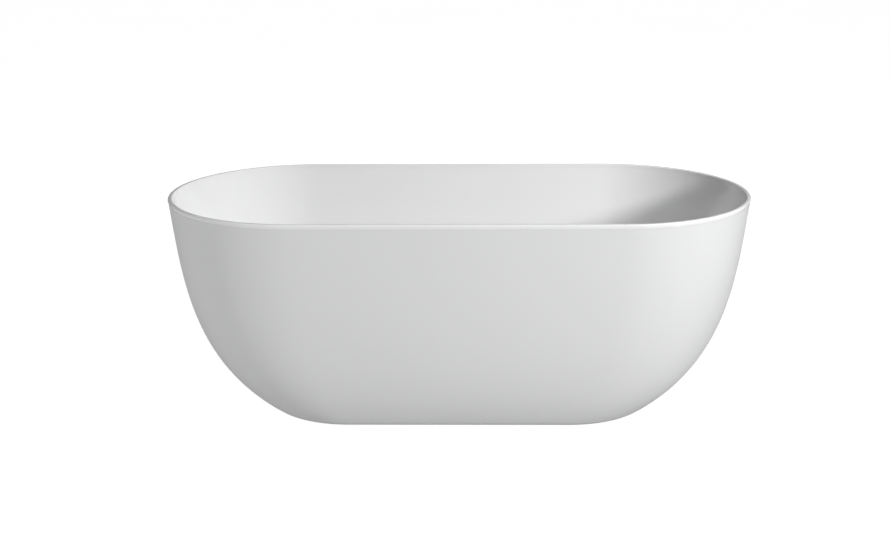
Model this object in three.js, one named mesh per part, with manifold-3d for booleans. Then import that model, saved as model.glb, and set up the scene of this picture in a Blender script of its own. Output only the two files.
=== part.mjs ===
// Freestanding double-skinned bathtub, in millimetres, +Z up.
// The origin is on the floor under the middle of the tub, +X runs along its length and -Y is its front.
// A thin-rimmed acrylic basin hangs inside a curved acrylic apron. Under the basin are a plywood board,
// three steel bars on screw feet, the waste with its pop-up plug, and the overflow with its hose.
import * as THREE from "three";
import { mergeVertices } from "three/addons/utils/BufferGeometryUtils.js";
import Module from "manifold-3d";

const wasm = await Module();
wasm.setup();

// Overall size
const LENGTH = 1600;
const WIDTH = 750;
const HEIGHT = 600;
const GAP = 0.3; // left between pieces that touch

// Apron: the outer wall, from a small footprint up to the rim
const FOOTPRINT_LENGTH = 1080;
const FOOTPRINT_WIDTH = 480;
const APRON_BOTTOM = 4; // the feet hold the apron clear of the floor
const APRON_WALL = 4.5;
const APRON_LIP = 20; // inward return at the bottom edge
const APRON_BACKING = 2.5; // fibreglass behind the acrylic
const APRON_CURVE = [
  [0, 0],
  [0.865, 0.25],
  [0.9, 0.65],
  [1, 1],
]; // Bezier handles: share of the spread from footprint to rim, share of the height

// Rim: the rounded edge where the basin sheet turns over the apron
const RIM_WIDTH = 12;
const RIM_NOSE = 12; // height of the turned edge
const RIM_OUTER_RADIUS = 5;
const RIM_INNER_RADIUS = 4;

// Basin: the inner wall, from the flat of the floor up to the rim
const BASIN_WALL = 5;
const BASIN_BACKING = 3; // fibreglass behind the acrylic
const FLOOR_Z = 150; // at the waste
const FLOOR_FALL = 4;
const FLOOR_HALF_LENGTH = 400;
const FLOOR_HALF_WIDTH = 130;
const BED_Z = 140; // flat underside of the fibreglass under the floor
const END_HANDLES = [
  [630, FLOOR_Z + FLOOR_FALL],
  [735, 390],
]; // Bezier handles of the backrests: distance from the middle, height
const SIDE_HANDLES = [
  [250, FLOOR_Z + FLOOR_FALL],
  [290, 400],
]; // and of the long walls

// Bond bead under the rim
const BEAD_TOP = HEIGHT - RIM_NOSE - 5;
const BEAD_BOTTOM = HEIGHT - 40;

// Base board and the steel bars under it
const BOARD = { length: 860, width: 300, thick: 18, corner: 40, wasteHole: 58, footHole: 10 };
const BOARD_TOP = BED_Z - GAP;
const BOARD_BOTTOM = BOARD_TOP - BOARD.thick;
const BAR = { width: 40, height: 20, wall: 2.5, top: BOARD_BOTTOM - GAP };
const BAR_BOTTOM = BAR.top - BAR.height;
const BAR_X = { left: -320, middle: 140, right: 320 };
const END_BAR_HALF = 198;
const MIDDLE_BAR_HALF = 130;
const SCREW = { y: 105, head: 4.5, headHigh: 2.4, shank: 2, bite: 14 };
const SCREW_HOLE = SCREW.shank + 0.5;

// Straps that tie the end bars to the apron
const TIE = { width: 30, thick: 3, from: 156, rise: 40, hole: 9 };

// Screw feet
const FOOT_Y = 175;
const FEET = [
  [BAR_X.left, -FOOT_Y],
  [BAR_X.left, FOOT_Y],
  [BAR_X.middle, 0],
  [BAR_X.right, -FOOT_Y],
  [BAR_X.right, FOOT_Y],
];
const SOLE = { radius: 26, high: 6 };
const CUP = { high: 12, top: 21 };
const STUD = { radius: 6, bottom: 12, top: 138, hex: 9.8, hexLow: 23, hexHigh: 31 };
const STUD_FACETS = 12;
const NUT = { corner: 11, high: 10, bore: STUD.radius + 2 * GAP };

// Waste, on the vertical axis through the origin
const WASTE = { hole: 27, recess: 38, recessDeep: 1.6, flange: 35, tube: 24, bore: 19, outlet: 50 };
const FLANGE_Z = FLOOR_Z - WASTE.recessDeep + 2.2; // underside of the flange, on its gasket
const FLANGE_TOP = FLANGE_Z + 2.6;
const HUB = { radius: 9, bore: 5.3, low: 116, high: 122, arm: 4 };
const WEEP = { low: 84, high: 104, wide: 14 };
const BODY = { outer: 30, bore: 24.6, flange: 38, top: 136.4, bottom: 72, chamber: 27.5 };
const WASTE_NUT = { corner: 35, low: 62, bore: 24.4 };

// Pop-up plug, drawn closed; it rises by 9 mm to open
const SEAL = { inner: 24, outer: 29, low: FLANGE_TOP + GAP, high: 3 };
const CAP = { radius: 31, low: SEAL.low + SEAL.high + GAP, edge: 3.5, dome: 8, boss: 6, bossLow: 149 };
const STEM = { radius: 3, low: 112.5 };
const CARTRIDGE = { radius: 5, low: 108, high: 130, collar: 7.5, collarHigh: 126, bore: 3.6, boreLow: 111.5 };
const SPRING = { radius: 5, wire: 0.6, turns: 4.5, stepsPerTurn: 8 };

// Overflow, square to the front wall at this height
const OVERFLOW_Z = 480;
const OVERFLOW = { hole: 24, seat: 29, tube: 21, tubeBore: 18.5, cover: 32, coverGap: 9 };
const SPOT_FACE = { front: -0.8, back: -9.2, radius: 33 }; // flats cut round the hole, in front and behind
const ELBOW = { flange: 31, width: 44, spigotAxis: -27 };

// Hose from the overflow down to the waste
const HOSE = { outer: 13.4, bore: 11.4, spigot: 10.5, spigotBore: 8.5, steps: 22 };
const BRANCH_Z = 94;
const CLIP = { outer: 15.2, bore: HOSE.outer + 0.4, wide: 10, box: 8 };

// Round shapes
const ARC_STEPS = 16; // facets of each rounded end
const APRON_STEPS = 9; // bands up the apron
const BASIN_STEPS = 10; // and up the basin
const ROUND = 18; // facets of a small turned piece
const FEW = 14; // and of a smaller one

const COLOURS = {
  acrylic: new THREE.MeshStandardMaterial({ color: 0xf2f2f1, roughness: 0.12, metalness: 0 }),
  satinAcrylic: new THREE.MeshStandardMaterial({ color: 0xeeeeed, roughness: 0.3, metalness: 0 }),
  fibreglass: new THREE.MeshStandardMaterial({ color: 0xd8d2bd, roughness: 0.6, metalness: 0 }),
  adhesive: new THREE.MeshStandardMaterial({ color: 0xc9c4b4, roughness: 0.5, metalness: 0 }),
  plywood: new THREE.MeshStandardMaterial({ color: 0xc9a26b, roughness: 0.7, metalness: 0 }),
  zinc: new THREE.MeshStandardMaterial({ color: 0xb4b8ba, roughness: 0.4, metalness: 0.9 }),
  chrome: new THREE.MeshStandardMaterial({ color: 0xe6e7e8, roughness: 0.06, metalness: 1 }),
  rubber: new THREE.MeshStandardMaterial({ color: 0x222222, roughness: 0.75, metalness: 0 }),
  plastic: new THREE.MeshStandardMaterial({ color: 0xe9e9e6, roughness: 0.4, metalness: 0 }),
  nylon: new THREE.MeshStandardMaterial({ color: 0x2c2d2f, roughness: 0.5, metalness: 0 }),
};

const tub = new THREE.Group();

function addMesh(name, geometry, material, parent = tub) {
  const mesh = new THREE.Mesh(geometry, material);
  mesh.name = name;
  parent.add(mesh);
  return mesh;
}

// Solids: joins and cuts with manifold-3d

function solid(geometry) {
  const bare = geometry.clone();
  bare.deleteAttribute("normal");
  bare.deleteAttribute("uv");
  const merged = mergeVertices(bare, 1e-4);
  return new wasm.Manifold(
    new wasm.Mesh({
      numProp: 3,
      vertProperties: new Float32Array(merged.attributes.position.array),
      triVerts: new Uint32Array(merged.index.array),
    }),
  );
}

function faceted(made) {
  const mesh = made.getMesh();
  const geometry = new THREE.BufferGeometry();
  geometry.setAttribute("position", new THREE.BufferAttribute(mesh.vertProperties, 3));
  geometry.setIndex(new THREE.BufferAttribute(mesh.triVerts, 1));
  geometry.computeVertexNormals();
  return geometry;
}

function cut(geometry, ...tools) {
  return faceted(tools.reduce((left, tool) => left.subtract(solid(tool)), solid(geometry)));
}

function join(...geometries) {
  return faceted(geometries.map(solid).reduce((all, next) => all.add(next)));
}

// Turned pieces and bars

// A closed profile of [radius, height] points turned about the vertical axis, run anticlockwise.
function turned(profile, facets = ROUND) {
  const points = [...profile, profile[0]].map(([r, z]) => new THREE.Vector2(r, z));
  return new THREE.LatheGeometry(points, facets).rotateX(Math.PI / 2);
}

function post(radius, low, high, facets = ROUND) {
  return new THREE.CylinderGeometry(radius, radius, high - low, facets)
    .rotateX(Math.PI / 2)
    .translate(0, 0, (low + high) / 2);
}

function tube(outer, bore, low, high, facets = ROUND) {
  return turned([[bore, low], [outer, low], [outer, high], [bore, high]], facets);
}

function bar(sizeX, sizeY, low, high) {
  return new THREE.BoxGeometry(sizeX, sizeY, high - low).translate(0, 0, (low + high) / 2);
}

function hexNut(corner, bore, low, high, facets = ROUND) {
  return cut(post(corner, low, high, 6), post(bore, low - 1, high + 1, facets));
}

// Stadium rings: the plan of the tub at one height is two half circles joined by straight sides

function bezier(points, s) {
  const r = 1 - s;
  const weights = [r * r * r, 3 * r * r * s, 3 * r * s * s, s * s * s];
  return [0, 1].map((axis) => points.reduce((sum, point, i) => sum + weights[i] * point[axis], 0));
}

function ringPoints({ a, b, z }) {
  const straight = a - b;
  const points = [];
  for (const side of [1, -1]) {
    for (let i = 0; i <= ARC_STEPS; i++) {
      const angle = -Math.PI / 2 + (Math.PI * i) / ARC_STEPS;
      points.push([side * (straight + b * Math.cos(angle)), side * b * Math.sin(angle), z]);
    }
    points.push([0, side * b, z]);
  }
  return points;
}

// Skins a list of rings. A loop joins its last ring to its first; otherwise the ends are closed flat.
function skin(rings, loop) {
  const outlines = rings.map(ringPoints);
  const around = outlines[0].length;
  const positions = outlines.flat(2);
  const faces = [];
  const band = (lower, upper) => {
    for (let i = 0; i < around; i++) {
      const next = (i + 1) % around;
      const [p, q] = [lower * around + i, lower * around + next];
      const [r, s] = [upper * around + i, upper * around + next];
      faces.push(p, q, s, p, s, r);
    }
  };
  for (let j = 0; j + 1 < rings.length; j++) band(j, j + 1);
  if (loop) {
    band(rings.length - 1, 0);
  } else {
    const last = (rings.length - 1) * around;
    const middle = positions.length / 3;
    positions.push(0, 0, rings[0].centre ?? rings[0].z, 0, 0, rings.at(-1).centre ?? rings.at(-1).z);
    for (let i = 0; i < around; i++) {
      const next = (i + 1) % around;
      faces.push(middle, next, i, middle + 1, last + i, last + next);
    }
  }
  const geometry = new THREE.BufferGeometry();
  geometry.setAttribute("position", new THREE.Float32BufferAttribute(positions, 3));
  geometry.setIndex(faces);
  geometry.computeVertexNormals();
  return geometry;
}

function steps(from, to, count) {
  return Array.from({ length: count + 1 }, (_, i) => from + ((to - from) * i) / count);
}

// The share of a curve at which a ring function reaches a height.
function shareAt(ring, z) {
  let [low, high] = [0, 1];
  while (high - low > 1e-6) {
    const middle = (low + high) / 2;
    if (ring(middle).z < z) low = middle;
    else high = middle;
  }
  return low;
}

// The ring at a height on a faceted wall, given its rings from the bottom up.
function ringAt(rings, z) {
  const above = rings.findIndex((ring) => ring.z > z);
  const [p, q] = [rings[above - 1], rings[above]];
  const mix = (z - p.z) / (q.z - p.z);
  return { a: p.a + (q.a - p.a) * mix, b: p.b + (q.b - p.b) * mix, z };
}

// Apron

// The apron's face at share s of its curve, moved inwards by depth, square to the wall.
function apronRing(s, depth = 0) {
  const near = 0.001;
  const low = Math.max(0, s - near);
  const high = Math.min(1, s + near);
  const [spreadLow, riseLow] = bezier(APRON_CURVE, low);
  const [spreadHigh, riseHigh] = bezier(APRON_CURVE, high);
  const [spread, rise] = bezier(APRON_CURVE, s);
  const tall = HEIGHT - APRON_BOTTOM;
  const half = (foot, full) => {
    const out = ((full - foot) / 2) * (spreadHigh - spreadLow);
    const up = tall * (riseHigh - riseLow);
    return foot / 2 + ((full - foot) / 2) * spread - (depth * Math.hypot(out, up)) / up;
  };
  return {
    a: half(FOOTPRINT_LENGTH, LENGTH),
    b: half(FOOTPRINT_WIDTH, WIDTH),
    z: APRON_BOTTOM + tall * rise,
  };
}

const apronTop = shareAt(apronRing, HEIGHT - RIM_NOSE - GAP);
const apronShares = steps(0, apronTop, APRON_STEPS);
const apronFace = (depth) => apronShares.map((s) => apronRing(s, depth));

function addApron() {
  const lipTop = APRON_BOTTOM + APRON_WALL;
  const foot = apronRing(0);
  const inside = apronFace(APRON_WALL).filter((ring) => ring.z > lipTop);
  const corner = apronRing(shareAt(apronRing, lipTop), APRON_WALL);
  const lip = [lipTop, APRON_BOTTOM].map((z) => ({ a: foot.a - APRON_LIP, b: foot.b - APRON_LIP, z }));
  addMesh("apron", skin([...apronFace(0), ...inside.reverse(), corner, ...lip], true), COLOURS.satinAcrylic);
}

function addApronBacking() {
  const near = APRON_WALL + GAP;
  const front = apronFace(near).slice(1, -1);
  const back = apronFace(near + APRON_BACKING).slice(1, -1);
  addMesh("apron_backing", skin([...front, ...back.reverse()], true), COLOURS.fibreglass);
}

// Basin

// The basin's face at share s from the floor's flat to the rim.
function basinRing(s) {
  const edge = FLOOR_Z + FLOOR_FALL;
  const top = HEIGHT - RIM_INNER_RADIUS;
  const wall = (flat, handles, rim) => [[flat, edge], ...handles, [rim, top]];
  const [a, z] = bezier(wall(FLOOR_HALF_LENGTH, END_HANDLES, LENGTH / 2 - RIM_WIDTH), s);
  const sideWall = wall(FLOOR_HALF_WIDTH, SIDE_HANDLES, WIDTH / 2 - RIM_WIDTH);
  // The long walls have their own handles, so their point is looked up at the same height.
  const share = shareAt((t) => ({ z: bezier(sideWall, t)[1] }), z);
  return { a, b: bezier(sideWall, share)[0], z };
}

// The basin's floor and wall, moved out and down by depth, and no higher than a limit.
function basinFace(depth, limit = HEIGHT) {
  const flat = { a: FLOOR_HALF_LENGTH - 40, b: FLOOR_HALF_WIDTH - 40, z: FLOOR_Z + FLOOR_FALL - 0.4 };
  const rings = [flat, ...steps(0, 1, BASIN_STEPS).map(basinRing)];
  const moved = rings.map(({ a, b, z }) => ({ a: a + depth, b: b + depth, z: Math.min(z - depth, limit) }));
  moved[0].centre = FLOOR_Z - depth;
  return moved;
}

const rimRing = (inset, z) => ({ a: LENGTH / 2 - inset, b: WIDTH / 2 - inset, z });

// Rings round a quarter turn of the rim: centre inset and height, radius, and the turn's ends.
function rimCorner(inset, z, radius, from, to) {
  return steps(from, to, 3).map((turn) => {
    const angle = THREE.MathUtils.degToRad(turn);
    return rimRing(inset - radius * Math.cos(angle), z + radius * Math.sin(angle));
  });
}

function addBasin() {
  const under = HEIGHT - RIM_NOSE;
  const outside = basinFace(BASIN_WALL, under);
  const nose = apronRing(shareAt(apronRing, under));
  const rim = [
    ...rimCorner(RIM_WIDTH - RIM_INNER_RADIUS, HEIGHT - RIM_INNER_RADIUS, RIM_INNER_RADIUS, 180, 90).slice(1),
    ...rimCorner(RIM_OUTER_RADIUS, HEIGHT - RIM_OUTER_RADIUS, RIM_OUTER_RADIUS, 90, 0),
    { ...nose, z: under },
  ];
  const bowl = skin([...basinFace(0), ...rim, ...outside.reverse()].reverse(), false);
  const recess = post(WASTE.recess, FLOOR_Z - WASTE.recessDeep, FLOOR_Z + 10);
  const wasteHole = post(WASTE.hole, FLOOR_Z - 20, FLOOR_Z + 20);
  const seat = onOverflow(post(SPOT_FACE.radius, SPOT_FACE.front, 20));
  const basin = cut(bowl, recess, wasteHole, seat, onOverflow(post(OVERFLOW.hole, -20, 20)));
  addMesh("basin", basin, COLOURS.acrylic);
}

function addBasinBacking() {
  const near = BASIN_WALL + GAP;
  const front = basinFace(near).slice(0, -1);
  const back = basinFace(near + BASIN_BACKING).slice(1, -1);
  const bed = { a: FLOOR_HALF_LENGTH, b: FLOOR_HALF_WIDTH, z: BED_Z };
  const bowl = skin([...front, ...back.reverse(), bed].reverse(), false);
  const wasteHole = post(WASTE.hole, BED_Z - 20, FLOOR_Z + 20);
  const seat = onOverflow(post(SPOT_FACE.radius, -40, SPOT_FACE.back));
  const backing = cut(bowl, wasteHole, seat, onOverflow(post(OVERFLOW.hole, -30, 20)));
  addMesh("basin_backing", backing, COLOURS.fibreglass);
}

// The wedge of adhesive that joins the two skins under the rim.
function addBondBead() {
  const apronSide = apronFace(APRON_WALL + GAP);
  const basinSide = basinFace(BASIN_WALL + GAP, HEIGHT - RIM_NOSE).slice(1);
  const inner = [BEAD_TOP, ...basinSide.map((ring) => ring.z).reverse(), BEAD_BOTTOM]
    .filter((z) => z <= BEAD_TOP && z >= BEAD_BOTTOM)
    .map((z) => ringAt(basinSide, z));
  const outer = [BEAD_BOTTOM, ...apronSide.map((ring) => ring.z), BEAD_TOP]
    .filter((z) => z <= BEAD_TOP && z >= BEAD_BOTTOM)
    .map((z) => ringAt(apronSide, z));
  addMesh("rim_bond_bead", skin([...outer, ...inner], true), COLOURS.adhesive);
}

// Overflow frame: its local Z points into the basin, square to the front wall, and its local Y down the wall

const overflowPlace = new THREE.Group();
const overflowShare = shareAt((s) => basinRing(s), OVERFLOW_Z);
const wallPoint = basinRing(overflowShare);
const wallAbove = basinRing(overflowShare + 0.01);
const wallLean = Math.atan2(wallAbove.b - wallPoint.b, wallAbove.z - wallPoint.z);
overflowPlace.position.set(0, -wallPoint.b, wallPoint.z);
overflowPlace.rotation.x = wallLean - Math.PI / 2;
overflowPlace.updateMatrixWorld(true);
tub.add(overflowPlace);

function onOverflow(geometry) {
  return geometry.applyMatrix4(overflowPlace.matrixWorld);
}

// A tube that runs down the wall in the overflow frame.
function spigot(radius, from, to) {
  return new THREE.CylinderGeometry(radius, radius, to - from, ROUND).translate(
    0,
    (from + to) / 2,
    ELBOW.spigotAxis,
  );
}

function addOverflow() {
  const { seat, tube: outer, tubeBore, cover, coverGap } = OVERFLOW;
  const seatBack = SPOT_FACE.front + GAP;
  const seatRing = turned([
    [tubeBore, -24],
    [outer, -24],
    [outer, seatBack],
    [seat, seatBack],
    [seat, 1.8],
    [seat - 1.5, 3],
    [tubeBore, 3],
  ]);
  const seatArm = bar(2 * tubeBore + 2, 4, -4, 2);
  const seatHub = post(7, -8, 2);
  const seatBore = post(4.3, -20, 20);
  addMesh("overflow_seat", cut(join(seatRing, seatArm, seatHub), seatBore), COLOURS.chrome, overflowPlace);

  const stemLow = -7;
  const coverProfile = [
    [0, stemLow],
    [4, stemLow],
    [4, coverGap],
    [cover - 3, coverGap],
    [cover - 3, coverGap - 1.5],
    [cover, coverGap - 1.5],
    [cover, coverGap + 1.5],
    [cover - 2, coverGap + 3],
    [cover / 2, coverGap + 4.2],
    [0, coverGap + 4.6],
  ];
  addMesh("overflow_cover", openTurned(coverProfile), COLOURS.chrome, overflowPlace);

  const gasketBack = SPOT_FACE.back - GAP - 2.4;
  const gasket = tube(30.5, OVERFLOW.hole + 0.5, gasketBack, SPOT_FACE.back - GAP);
  addMesh("overflow_gasket", gasket, COLOURS.rubber, overflowPlace);
  addElbow(gasketBack - GAP);
}

// A profile that starts and ends on the axis, turned about it.
function openTurned(profile, facets = ROUND) {
  const points = profile.map(([r, z]) => new THREE.Vector2(r, z));
  return new THREE.LatheGeometry(points, facets).rotateX(Math.PI / 2);
}

function addElbow(front) {
  const flangeBack = front - 2.7;
  const outline = new THREE.Shape();
  const side = [
    [-18, flangeBack + 0.1],
    [-18, -28],
    [-8, -32],
    [22, -36],
    [46, -38.5],
    [48, -36],
    [48, -16.5],
    [34, -15.2],
    [29, flangeBack + 0.1],
  ];
  outline.setFromPoints(side.map(([y, z]) => new THREE.Vector2(y, z)));
  // The side view is drawn in (y, z) and pushed along x.
  const chamber = new THREE.ExtrudeGeometry(outline, { depth: ELBOW.width, bevelEnabled: false })
    .rotateY(Math.PI / 2)
    .rotateX(Math.PI / 2)
    .translate(-ELBOW.width / 2, 0, 0);
  const flange = post(ELBOW.flange, flangeBack, front);
  const bodyOfElbow = join(flange, chamber, spigot(HOSE.spigot, 44, 76));
  const mouth = post(OVERFLOW.tube + 0.6, -25, 0);
  const outlet = spigot(HOSE.spigotBore, 0, 80);
  addMesh("overflow_elbow", cut(bodyOfElbow, mouth, outlet), COLOURS.plastic, overflowPlace);
}

// Hose and its two clips

const hoseStart = new THREE.Vector3(0, 50.5, ELBOW.spigotAxis).applyMatrix4(overflowPlace.matrixWorld);
const downWall = new THREE.Vector3(0, 1, 0).transformDirection(overflowPlace.matrixWorld);

// A point of the hose's axis that keeps clear of the basin's front wall at a height.
function besideWall(z, clear) {
  const depth = BASIN_WALL + GAP + BASIN_BACKING;
  return new THREE.Vector3(0, -(ringAt(basinFace(depth).slice(1), z).b + HOSE.outer + clear), z);
}

function addHose() {
  const route = new THREE.CatmullRomCurve3([
    hoseStart,
    hoseStart.clone().addScaledVector(downWall, 14),
    hoseStart.clone().addScaledVector(downWall, 28),
    besideWall(350, 8),
    besideWall(280, 10),
    besideWall(220, 14),
    besideWall(170, 22),
    new THREE.Vector3(0, -172, 114),
    new THREE.Vector3(0, -130, 98),
    new THREE.Vector3(0, -98, BRANCH_Z),
    new THREE.Vector3(0, -81, BRANCH_Z),
    new THREE.Vector3(0, -64.5, BRANCH_Z),
  ]);
  const section = new THREE.Shape().absarc(0, 0, HOSE.outer, 0, 2 * Math.PI);
  section.holes.push(new THREE.Path().absarc(0, 0, HOSE.bore, 0, 2 * Math.PI));
  const swept = { extrudePath: route, steps: HOSE.steps, curveSegments: 6 };
  addMesh("overflow_hose", new THREE.ExtrudeGeometry(section, swept), COLOURS.plastic);
}

function hoseClip() {
  const half = CLIP.wide / 2;
  const band = tube(CLIP.outer, CLIP.bore, -half, half);
  const screwBox = new THREE.BoxGeometry(16, CLIP.box, CLIP.wide - 1).translate(0, CLIP.outer + 2, 0);
  return cut(join(band, screwBox), post(CLIP.bore, -20, 20));
}

function addClips() {
  // The clip's own axis is Z; on the overflow spigot that axis turns onto local Y.
  const upper = addMesh("hose_clip_upper", hoseClip(), COLOURS.zinc, overflowPlace);
  upper.rotation.x = -Math.PI / 2;
  upper.position.set(0, 62, ELBOW.spigotAxis);
  const lower = addMesh("hose_clip_lower", hoseClip(), COLOURS.zinc);
  lower.rotation.x = -Math.PI / 2;
  lower.position.set(0, -76, BRANCH_Z);
}

// Base board, bars, screws and ties

function addBoard() {
  const { length, width, corner, wasteHole, footHole } = BOARD;
  const [x, y] = [length / 2 - corner, width / 2 - corner];
  const outline = new THREE.Shape();
  outline.absarc(x, y, corner, 0, Math.PI / 2);
  outline.absarc(-x, y, corner, Math.PI / 2, Math.PI);
  outline.absarc(-x, -y, corner, Math.PI, 1.5 * Math.PI);
  outline.absarc(x, -y, corner, 1.5 * Math.PI, 2 * Math.PI);
  outline.holes.push(new THREE.Path().absarc(0, 0, wasteHole, 0, 2 * Math.PI));
  outline.holes.push(new THREE.Path().absarc(BAR_X.middle, 0, footHole, 0, 2 * Math.PI));
  const blank = new THREE.ExtrudeGeometry(outline, {
    depth: BOARD.thick,
    bevelEnabled: false,
    curveSegments: 4,
  }).translate(0, 0, BOARD_BOTTOM);
  const pilots = screwPlaces().map(([px, py]) =>
    post(SCREW_HOLE, BOARD_BOTTOM - 1, BOARD_BOTTOM + SCREW.bite + 1, 8).translate(px, py, 0),
  );
  addMesh("base_board", cut(blank, ...pilots), COLOURS.plywood);
}

function screwPlaces() {
  return Object.values(BAR_X).flatMap((x) => [[x, -SCREW.y], [x, SCREW.y]]);
}

// A steel tube, open at both ends, with a nut welded under it over each foot.
function footBar(x, half, feet) {
  const { width, height, wall, top } = BAR;
  const outer = bar(width, 2 * half, BAR_BOTTOM, top);
  const hollow = bar(width - 2 * wall, 2 * half + 2, BAR_BOTTOM + wall, top - wall);
  const nuts = feet.map((y) => post(NUT.corner, BAR_BOTTOM - NUT.high, BAR_BOTTOM + 1, 6).translate(0, y, 0));
  const footHoles = feet.map((y) =>
    post(NUT.bore, BAR_BOTTOM - NUT.high - 1, top + 1, STUD_FACETS).translate(0, y, 0),
  );
  const screwHoles = [-SCREW.y, SCREW.y].map((y) =>
    post(SCREW_HOLE, BAR_BOTTOM - 1, top + 1, 8).translate(0, y, 0),
  );
  return cut(cut(join(outer, ...nuts), hollow), ...footHoles, ...screwHoles).translate(x, 0, 0);
}

function addBars() {
  addMesh("foot_bar_left", footBar(BAR_X.left, END_BAR_HALF, [-FOOT_Y, FOOT_Y]), COLOURS.zinc);
  addMesh("foot_bar_middle", footBar(BAR_X.middle, MIDDLE_BAR_HALF, [0]), COLOURS.zinc);
  addMesh("foot_bar_right", footBar(BAR_X.right, END_BAR_HALF, [-FOOT_Y, FOOT_Y]), COLOURS.zinc);
}

function addScrews() {
  const headTop = BAR_BOTTOM - GAP;
  const profile = [
    [0, headTop - SCREW.headHigh],
    [SCREW.head - 1.2, headTop - SCREW.headHigh],
    [SCREW.head, headTop - 1],
    [SCREW.head, headTop],
    [SCREW.shank, headTop],
    [SCREW.shank, BOARD_BOTTOM + SCREW.bite - 3],
    [0, BOARD_BOTTOM + SCREW.bite],
  ];
  screwPlaces().forEach(([x, y], i) => {
    addMesh(`board_screw_${i + 1}`, openTurned(profile, 8).translate(x, y, 0), COLOURS.zinc);
  });
}

// A bent strap from the top of an end bar, up along the inside of the apron.
function tieStrap() {
  const wall = apronFace(APRON_WALL + APRON_BACKING + 3 * GAP);
  const [low, high] = [BAR.top + GAP, BAR.top + GAP + TIE.rise];
  const [foot, head] = [ringAt(wall, low).b, ringAt(wall, high).b];
  const inward = (TIE.thick * Math.hypot(head - foot, high - low)) / (high - low);
  const bend = foot - inward + (TIE.thick * (head - foot)) / (high - low);
  const outline = new THREE.Shape(
    [
      [TIE.from, low],
      [foot, low],
      [head, high],
      [head - inward, high],
      [bend, low + TIE.thick],
      [TIE.from, low + TIE.thick],
    ].map(([y, z]) => new THREE.Vector2(y, z)),
  );
  const strap = new THREE.ExtrudeGeometry(outline, { depth: TIE.width, bevelEnabled: false })
    .rotateY(Math.PI / 2)
    .rotateX(Math.PI / 2)
    .translate(-TIE.width / 2, 0, 0);
  return cut(strap, post(TIE.hole, low - 1, low + TIE.thick + 1, FEW).translate(0, FOOT_Y, 0));
}

function addTies() {
  for (const [end, x] of [["left", BAR_X.left], ["right", BAR_X.right]]) {
    addMesh(`apron_tie_back_${end}`, tieStrap().translate(x, 0, 0), COLOURS.zinc);
    addMesh(`apron_tie_front_${end}`, tieStrap().rotateZ(Math.PI).translate(x, 0, 0), COLOURS.zinc);
  }
}

// Screw feet: rubber sole, nylon cup, steel stud that turns in the cup, and a lock nut under the bar's nut

function addFoot(number, x, y) {
  const place = new THREE.Group();
  place.position.set(x, y, 0);
  tub.add(place);
  const sole = [
    [0, 0],
    [SOLE.radius - 1, 0],
    [SOLE.radius, 1],
    [SOLE.radius, SOLE.high],
    [0, SOLE.high],
  ];
  addMesh(`foot_${number}_sole`, openTurned(sole, FEW), COLOURS.rubber, place);
  const base = SOLE.high + GAP;
  const socket = STUD.bottom - GAP;
  const cup = [
    [0, base],
    [SOLE.radius - 1, base],
    [SOLE.radius - 1, base + 3],
    [CUP.high, CUP.top],
    [STUD.radius + 2 * GAP, CUP.top],
    [STUD.radius + 2 * GAP, socket],
    [0, socket],
  ];
  addMesh(`foot_${number}_cup`, openTurned(cup, FEW), COLOURS.nylon, place);
  const stud = join(
    post(STUD.radius, STUD.bottom, STUD.top, STUD_FACETS),
    post(STUD.hex, STUD.hexLow, STUD.hexHigh, 6),
  );
  addMesh(`foot_${number}_stud`, stud, COLOURS.zinc, place);
  const nutTop = BAR_BOTTOM - NUT.high - GAP;
  const nut = hexNut(NUT.corner, NUT.bore, nutTop - NUT.high, nutTop, STUD_FACETS);
  addMesh(`foot_${number}_lock_nut`, nut, COLOURS.zinc, place);
}

// Waste and pop-up plug

function addWaste() {
  const { flange, tube: outer, bore, outlet } = WASTE;
  const flangeTube = turned([
    [bore, outlet],
    [outer, outlet],
    [outer, FLANGE_Z],
    [flange, FLANGE_Z],
    [flange, FLANGE_Z + 1.2],
    [flange - 1.6, FLANGE_TOP],
    [flange - 8, FLANGE_TOP],
    [bore, FLANGE_Z - 4],
  ]);
  const arms = [0, Math.PI / 2].map((turn) =>
    bar(2 * bore + 2, HUB.arm, HUB.low, HUB.high).rotateZ(turn),
  );
  const windows = [0, Math.PI / 2].map((turn) =>
    bar(3 * outer, WEEP.wide, WEEP.low, WEEP.high).rotateZ(turn),
  );
  const hub = post(HUB.radius, HUB.low, HUB.high);
  const fitting = cut(join(flangeTube, ...arms, hub), post(HUB.bore, 100, 140), ...windows);
  addMesh("waste_flange", fitting, COLOURS.chrome);

  const seat = FLOOR_Z - WASTE.recessDeep;
  addMesh("waste_gasket_upper", tube(34, 27.6, seat + GAP, FLANGE_Z - GAP), COLOURS.rubber);
  addMesh("waste_gasket_lower", tube(37, 25.5, BODY.top + GAP, BED_Z - GAP), COLOURS.rubber);

  const shell = turned([
    [BODY.bore, BODY.bottom],
    [BODY.outer, BODY.bottom],
    [BODY.outer, BODY.top - 4.4],
    [BODY.flange, BODY.top - 4.4],
    [BODY.flange, BODY.top],
    [BODY.bore, BODY.top],
    [BODY.bore, WEEP.high + 4],
    [BODY.chamber, WEEP.high],
    [BODY.chamber, WEEP.low],
    [BODY.bore, WEEP.low - 4],
  ]);
  const alongBranch = (radius, from, to) => {
    const length = to - from;
    return new THREE.CylinderGeometry(radius, radius, length, ROUND).translate(0, -(from + to) / 2, BRANCH_Z);
  };
  const branch = join(shell, alongBranch(15, 27.8, 62), alongBranch(HOSE.spigot, 60, 88));
  addMesh("waste_body", cut(branch, alongBranch(HOSE.spigotBore, 20, 90)), COLOURS.plastic);
  const nutTop = BODY.bottom - GAP;
  addMesh("waste_nut", hexNut(WASTE_NUT.corner, WASTE_NUT.bore, WASTE_NUT.low, nutTop), COLOURS.plastic);
}

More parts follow.
